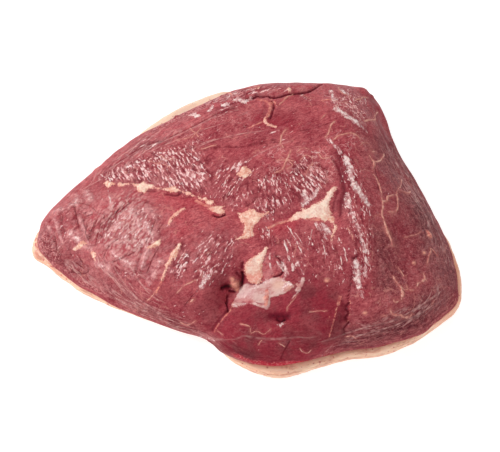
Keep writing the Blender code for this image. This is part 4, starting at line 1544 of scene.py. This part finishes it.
def muscle_material():
    s = Shader("Raw muscle")
    blotch = s.noise(70, 3, 0.6)
    mottle = s.noise(260, 3, 0.6)
    fine = s.noise(520, 4, 0.7, s.turned(25, 1.5))
    grit = s.noise(1400, 3, 0.7, s.turned(24, 1.8))
    grains = s.noise(900, 3, 0.7)
    ragged = s.noise(480, 4, 0.7)
    dull_and_shade = s.value("dull_and_shade")
    side = s.value("side")
    wet_and_shade = s.value("wet_and_shade")
    flush = s.value("flush")
    pale = s.value("pale")
    cream = s.value("cream")

    # Fibres: long ones over the top, down the flank, and lines that follow the rim down the sides
    over_top = s.noise(900, 4, 0.7, s.turned(20, 6.0))
    down_flank = s.noise(700, 4, 0.7, s.turned(FLANK_ANGLE, 4.0))
    round_side = s.noise(800, 4, 0.7, s.stretched(9.0))
    grain = s.blend(side, s.blend(dull_and_shade, over_top, down_flank), round_side)

    # Flesh: bright; dull and wet, both partly painted shade; flushed; pale, partly painted sheen and light
    flesh = s.between(blotch, 0.36, 0.62, FLESH)
    flesh = s.specked(flesh, FIBRES, (grain, 0.50, 0.64, 0.44), (grain, 0.47, 0.36, 0.35))
    flesh = s.specked(flesh, MOTTLES, (mottle, 0.52, 0.64, 0.30), (mottle, 0.46, 0.36, 0.20))
    # Darker, duller sides: painted shade away from the key light, with a painted grey sheen
    dull_and_shade_share = s.times(dull_and_shade, s.step(mottle, 0.3, 0.6, 0.65, 0.9))
    flesh = s.mix(dull_and_shade_share, flesh, s.between(grain, 0.40, 0.60, DULL_AND_SHADED_FLESH))
    flesh = s.mix(s.times(flush, 0.70), flesh, colour(190, 60, 72))
    # Paler flesh, partly painted sheen and light
    flesh = s.mix(s.times(pale, s.step(mottle, 0.36, 0.60, 0.0, 0.85)), flesh, colour(208, 134, 134))
    # Darker wet flesh, partly painted shade
    flesh = s.mix(s.times(wet_and_shade, 0.85), flesh, s.between(blotch, 0.4, 0.6, WET_AND_SHADED_FLESH))
    flesh = s.mix(s.step(fine, 0.51, 0.64, 0.0, 0.34), flesh, FINE_SPECKS[0])
    flesh = s.mix(s.step(grit, 0.52, 0.64, 0.0, 0.48), flesh, GRIT_SPECKS[0])
    dry = s.times(s.step(wet_and_shade, 0.6, 0.0, 0.22, 1.0), s.step(dull_and_shade, 1.0, 0.0, 0.95, 1.0))
    flesh = s.mix(s.times(s.step(fine, 0.47, 0.35, 0.0, 0.35), dry), flesh, FINE_SPECKS[1])
    flesh = s.mix(s.times(s.step(grit, 0.46, 0.34, 0.0, 0.36), dry), flesh, GRIT_SPECKS[1])

    # Pale beads with crimson between them: the pale tops partly painted sheen, the crimson partly painted
    # shade in the grooves
    beads = s.value("beads")
    swell = s.step(s.cells(s.shifted(300, 2, 0.5, 0.0022, s.turned(54, 2.0)), 560, "F1"), 0.72, 0.34)
    bead_colour = s.mix(swell, colour(164, 58, 68), s.between(mottle, 0.42, 0.60, BEADS_PALE_AND_SHEEN))
    flesh = s.mix(s.times(beads, s.step(blotch, 0.36, 0.60, 0.28, 0.72)), flesh, bead_colour)

    # Wrinkles with painted glints, painted shade in the gaps between them and in their troughs, and painted
    # highlight on their crests
    wrinkles, painted_glints, zones = wrinkles_and_painted_glints(s)
    calm = s.step(beads, 0.0, 1.0, 1.0, 0.3)
    # Painted shade in the gaps between the glints
    painted_gap_shade = s.times(s.step(painted_glints, -0.03, -0.10), s.times(zones, 0.45), calm)
    # Painted shade in the wrinkles' troughs, then painted highlight on their crests
    flesh = s.mix(s.times(s.step(wrinkles, 0.0, -0.12, 0.0, 0.75), calm), flesh, FOLD_SHADE_AND_HIGHLIGHT[0])
    flesh = s.mix(s.step(wrinkles, 0.03, 0.14, 0.0, 0.35), flesh, FOLD_SHADE_AND_HIGHLIGHT[1])
    flesh = s.mix(painted_gap_shade, flesh, FOLD_SHADE_AND_HIGHLIGHT[0])
    flesh = s.mix(s.step(painted_glints, 0.0, 0.05, 0.0, 0.9), flesh, s.between(fine, 0.40, 0.58, PAINTED_GLINTS))

    # A faint web of marbling, veils of skin, lines along the rim, and a net of pale threads
    web = s.step(s.cells(s.shifted(160, 3, 0.6, 0.006), 130), 0.050, 0.012)
    web = s.times(web, s.step(mottle, 0.42, 0.56), s.step(s.noise(95, 2, 0.5), 0.50, 0.62, 0.0, 0.55))
    flesh = s.mix(s.times(web, s.step(wet_and_shade, 0.5, 0.05)), flesh, colour(206, 132, 122))
    near_veil = s.value("veil")
    veil_edge = s.frayed(near_veil, (ragged, 3.0), (mottle, 3.0))
    flesh = s.mix(s.step(veil_edge, -0.5, 1.2, 0.0, 0.16), flesh, colour(196, 146, 142))
    veil_across = s.frayed(s.maths("ABSOLUTE", s.value("veil_across")), (ragged, 1.4))
    veil_line = s.times(s.step(veil_across, 1.0, 0.4), s.step(near_veil, -1.4, -0.8))
    veil_line = s.times(veil_line, s.step(mottle, 0.58, 0.42, 0.06, 0.62), s.step(wet_and_shade, 0.6, 0.1, 0.36, 1.0))
    flesh = s.mix(veil_line, flesh, colour(210, 156, 150))
    rim_noise = s.noise(420, 2.5, 0.5, s.stretched(12.0, s.shifted(120, 2, 0.5, 0.0016)))
    rim_zone = s.times(s.step(near_veil, -6.0, -1.0), s.step(mottle, 0.60, 0.42, 0.15, 1.0))
    rim_zone = s.times(rim_zone, s.times(s.value("slope"), s.step(wet_and_shade, 0.5, 0.0, 0.2, 1.0)))
    for level, strength, tone in ((0.56, 0.45, RIM_LINES[0]), (0.48, 0.50, RIM_LINES[1])):
        flesh = s.mix(s.times(s.level_line(rim_noise, level), rim_zone, strength), flesh, tone)
    threads = s.step(s.cells(s.shifted(420, 3, 0.6, 0.0040), 360), 0.090, 0.025)
    threads = s.times(threads, s.value("net"), s.step(s.noise(210, 3, 0.6), 0.46, 0.58, 0.0, 0.90))
    flesh = s.mix(s.times(threads, s.step(wet_and_shade, 0.6, 0.0, 0.3, 1.0)), flesh, colour(232, 174, 170))

    # A halo round the marbling, pale blooms partly painted sheen, the raw edge above the fat cap partly
    # painted light, and crumbly crust
    halo = s.frayed(s.value("vein"), (ragged, 2.4))
    flesh = s.mix(s.step(halo, -0.9, 0.6, 0.0, 0.42), flesh, colour(190, 112, 104))
    bloom = s.value("bloom")
    # Pale blooms, partly painted sheen
    bloom_share = s.step(s.frayed(bloom, (ragged, 4.0), (mottle, 6.0)), -1.4, 2.0, 0.0, 0.75)
    flesh = s.mix(s.times(bloom_share, s.step(fine, 0.60, 0.44, 0.35, 1.0)), flesh, colour(228, 168, 166))
    # The raw crimson edge above the fat cap, painted brighter against the shade under the muscle's overhang,
    # with specks of painted highlight
    foot_edge = s.frayed(s.value("foot"), (ragged, 4.0), (blotch, 4.0))
    foot_edge = s.maths("MULTIPLY_ADD", wet_and_shade, -3.4, foot_edge)
    foot_colour = s.mix(s.step(ragged, 0.50, 0.40, 0.0, 0.40), s.mix(wet_and_shade, *FOOT), colour(232, 132, 128))
    flesh = s.mix(s.step(foot_edge, 3.0, 1.6, 0.0, 0.88), flesh, foot_colour)
    dry_crust = s.between(grains, 0.40, 0.56, DRY_CRUST)
    wet_crust = s.between(grains, 0.36, 0.50, WET_CRUST)
    crust_share = s.step(s.maths("MULTIPLY_ADD", ragged, 1.6, s.value("crust")), 1.0, 1.7, 0.0, 0.75)
    flesh = s.mix(crust_share, flesh, s.between(wet_and_shade, 0.1, 0.5, (dry_crust, wet_crust)))

    # Silverskin with a painted highlight, wrinkle lines and crevices darkened by painted shade, and knots
    # painted lighter against the shade round them
    silver_share = s.step(s.frayed(s.value("silverskin"), (ragged, 2.4)), -0.1, 0.7, 0.0, 0.90)
    silver = s.between(s.noise(190, 3, 0.55, s.turned(20, 2.0)), 0.38, 0.58, SILVER)
    # A whiter part of the silverskin: painted highlight
    silver = s.mix(s.times(pale, 0.45), silver, colour(236, 202, 198))
    silver = s.specked(silver, SILVER_SPECKS, (fine, 0.50, 0.62, 0.25), (grit, 0.46, 0.36, 0.40))
    silver = s.mix(s.times(cream, 0.55), silver, colour(234, 186, 158))
    silver = s.mix(s.times(flush, 0.65), silver, colour(196, 84, 92))
    flesh = s.mix(silver_share, flesh, silver)
    wrinkle_across = s.frayed(s.maths("ABSOLUTE", s.value("wrinkle_across")), (ragged, 1.6))
    wrinkle_line = s.times(s.step(wrinkle_across, 1.2, 0.4), s.step(s.value("wrinkle"), -1.2, -0.7))
    wrinkle_line = s.times(wrinkle_line, s.step(mottle, 0.40, 0.58, 0.15, 0.62))
    # Dark lines of painted shade along the wrinkles
    flesh = s.mix(wrinkle_line, flesh, s.mix(silver_share, *WRINKLE_SHADE))
    crevice = s.frayed(s.value("crevice"), (ragged, 0.5))
    # Painted shade darkens the crevices
    flesh = s.specked(flesh, CREVICE_SHADE, (crevice, 0.12, 0.75, 0.9), (crevice, 0.72, 1.0, 0.9))
    # Pale pink knots, partly painted light that offsets the shade of the pocket round the largest
    knot_share = s.times(s.value("knot"), s.step(fine, 0.36, 0.58, 0.98, 0.55))
    flesh = s.mix(knot_share, flesh, colour(244, 170, 147))

    # Painted sheen on the wet surface, also in the middles of blooms, then pink fat and white fat
    painted_sheen = s.maths("MAXIMUM", s.value("painted_sheen"), s.maths("ADD", bloom, -1.5))
    painted_sheen = s.frayed(painted_sheen, (s.noise(640, 4, 0.75, s.turned(FLANK_ANGLE, 5.0)), 8.0), (mottle, 3.5))
    flesh = s.mix(s.step(painted_sheen, -0.2, 1.1, 0.0, 0.94), flesh, s.between(fine, 0.42, 0.56, SHEEN_TONES))
    pink_edge = s.frayed(s.value("pink_fat"), (ragged, 1.8))
    pink_share = s.times(s.step(pink_edge, -0.05, 0.35), s.step(mottle, 0.40, 0.58, 0.90, 0.40))
    flesh = s.mix(pink_share, flesh, s.between(fine, 0.4, 0.6, PINK_FAT))
    fat_edge = s.frayed(s.value("fat"), (ragged, 3.6), (s.noise(1100, 2, 0.6), 2.2))
    fat = s.mix(s.times(cream, 0.6), fat_tint(s), colour(253, 230, 214))
    fat = s.mix(s.times(flush, 0.65), fat, colour(234, 152, 140))
    fat = s.specked(fat, FAT_SPECKS, (grains, 0.52, 0.62, 0.38), (grains, 0.47, 0.38, 0.48))
    fat = s.mix(s.step(fat_edge, 1.0, 0.0, 0.0, 0.75), fat, colour(228, 152, 138))
    flesh = s.mix(s.step(fat_edge, -0.05, 0.18), flesh, fat)

    rough = s.step(mottle, 0.3, 0.7, 0.44, 0.60)
    rough = s.maths("MULTIPLY_ADD", side, 0.30, s.maths("MULTIPLY_ADD", zones, -0.10, rough))
    shine = s.maths("MAXIMUM", s.times(zones, 0.60), s.times(silver_share, 0.7))
    relief = s.relief(
        (grain, 0.00030, 0.9),
        (s.times(wrinkles, s.step(beads, 0.0, 1.0, 1.0, 0.6)), 0.0011, 1.0),
        (s.times(beads, swell), 0.0004, 1.0),
        (fine, 0.00022, 0.9),
        (s.times(grains, crust_share), 0.0004, 1.0),
        (s.times(wrinkle_line, -1.0), 0.0008, 1.0),
    )
    return s.finished({
        "Base Color": flesh,
        "Roughness": rough,
        "Subsurface Weight": 0.10,
        "Subsurface Radius": (1.0, 0.35, 0.25),
        "Subsurface Scale": 0.0015,
        "Specular IOR Level": 0.04,
        "Coat Weight": s.times(s.maths("ADD", shine, 0.16), s.step(side, 0.7, 0.05)),
        "Coat IOR": 1.3,
        "Coat Roughness": 0.13,
        "Normal": relief,
        "Coat Normal": relief,
    })


def fat_tint(s):
    """Cream fat with pinker clouds and fine streaks."""
    tint = s.between(s.noise(200, 3, 0.6), 0.38, 0.60, FAT_TINT)
    streaks = s.noise(560, 4, 0.7, s.turned(50, 2.0))
    return s.specked(tint, FAT_STREAKS, (streaks, 0.50, 0.62, 0.55), (streaks, 0.47, 0.36, 0.7))


def vein_material(name, tones):
    s = Shader(name)
    tint = s.between(s.noise(420, 3, 0.6), 0.35, 0.65, tones)
    tint = s.mix(s.step(s.noise(150, 2, 0.6), 0.54, 0.66, 0.0, 0.75), tint, colour(168, 72, 74))
    return s.finished({
        "Base Color": tint,
        "Roughness": 0.45,
        "Subsurface Weight": 0.15,
        "Subsurface Radius": (1.0, 0.5, 0.4),
        "Subsurface Scale": 0.001,
        "Normal": s.relief((s.noise(1200, 2, 0.6), 0.0001, 0.6)),
    })


def fat_material():
    s = Shader("Beef fat")
    cloud = s.noise(60, 4, 0.6)
    layers = s.noise(520, 3, 0.6, s.stretched(8.0))
    fibres = s.noise(1300, 3, 0.7, s.stretched(3.0))
    body = s.between(cloud, 0.3, 0.7, CAP_BODY)
    body = s.specked(body, CAP_LAYERS, (layers, 0.48, 0.60, 0.6), (layers, 0.47, 0.37, 0.6))
    body = s.specked(body, CAP_FIBRES, (fibres, 0.52, 0.64, 0.45), (fibres, 0.46, 0.36, 0.45))
    # A painted highlight along the fat cap's top edge, which also lightens the shade under the muscle's
    # overhang
    highlight_share = s.times(s.value("top_edge_highlight"), s.step(layers, 0.56, 0.44, 0.10, 0.85))
    body = s.mix(highlight_share, body, colour(255, 208, 180))
    body = s.mix(s.times(s.value("tan"), 0.65), body, colour(240, 166, 132))
    body = s.mix(s.times(s.value("cream"), 0.65), body, colour(244, 220, 196))
    body = s.mix(s.step(s.noise(380, 2, 0.5), 0.64, 0.69, 0.0, 0.7), body, colour(196, 70, 80))
    return s.finished({
        "Base Color": body,
        "Roughness": s.step(cloud, 0.3, 0.7, 0.42, 0.58),
        "Subsurface Weight": 0.25,
        "Subsurface Radius": (1.0, 0.6, 0.45),
        "Subsurface Scale": 0.003,
        "Coat Weight": 0.15,
        "Coat Roughness": 0.25,
        "Normal": s.relief((s.noise(260, 4, 0.6), 0.0004, 0.7)),
    })


# Floor, light and camera


def pale_floor():
    half = FLOOR_HALF_WIDTH
    corners = [(-half, -half, 0), (half, -half, 0), (half, half, 0), (-half, half, 0)]
    data = bpy.data.meshes.new("floor")
    data.from_pydata(corners, [], [(0, 1, 2, 3)])
    data.materials.append(Shader("Pale floor").finished({
        "Base Color": (FLOOR_GREY, FLOOR_GREY, FLOOR_GREY, 1),
        "Roughness": 0.9,
        "Specular IOR Level": 0.1,
        "Emission Color": WHITE,
        "Emission Strength": FLOOR_GLOW,
    }))
    floor = placed("floor", data)


def studio():
    world = bpy.data.worlds.new("Studio")
    world.use_nodes = True
    background = world.node_tree.nodes["Background"]
    background.inputs["Color"].default_value = WHITE
    background.inputs["Strength"].default_value = WORLD_STRENGTH
    bpy.context.scene.world = world
    for name, direction, distance, size, power in LIGHTS:
        light = bpy.data.lights.new(name, "AREA")
        light.shape = "SQUARE"
        light.size = size
        light.energy = power
        lamp = placed(name, light)
        away = Vector(direction).normalized()
        lamp.location = CAMERA_TARGET + away * distance
        lamp.rotation_euler = away.to_track_quat("Z", "Y").to_euler()
    bpy.context.scene.view_settings.view_transform = "Standard"
    bpy.context.scene.view_settings.look = "None"


def photo_camera():
    data = bpy.data.cameras.new("Camera")
    data.sensor_width = SENSOR_WIDTH
    data.lens = SENSOR_WIDTH * CAMERA_DISTANCE / (PHOTO_WIDTH * PIXEL)
    data.clip_start = CAMERA_NEAREST
    camera = placed("Camera", data)
    camera.location = camera_place()
    camera.rotation_euler = (math.radians(90 - CAMERA_ELEVATION), 0, 0)
    bpy.context.scene.camera = camera


muscle = dressed_muscle()
muscle.data.materials.append(muscle_material())
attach(muscle, "root")
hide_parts("lean")

fat_cap = dressed_fat_cap()
fat_cap.data.materials.append(fat_material())
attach(fat_cap, "root")
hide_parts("fat_cap")

muscle_tree = tree_of(muscle)
for name, table, sink, material, seed in (
    ("marbling", MARBLING, MARBLING_SINK, vein_material("Marbling fat", MARBLING_FAT), 3.0),
    ("strands", STRANDS, STRAND_SINK, vein_material("White sinew", WHITE_SINEW), 81.0),
):
    piece = veins(name, muscle_tree, table, sink, material, seed)
    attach(piece, "root")

pale_floor()
studio()
photo_camera()
bpy.context.view_layer.update()
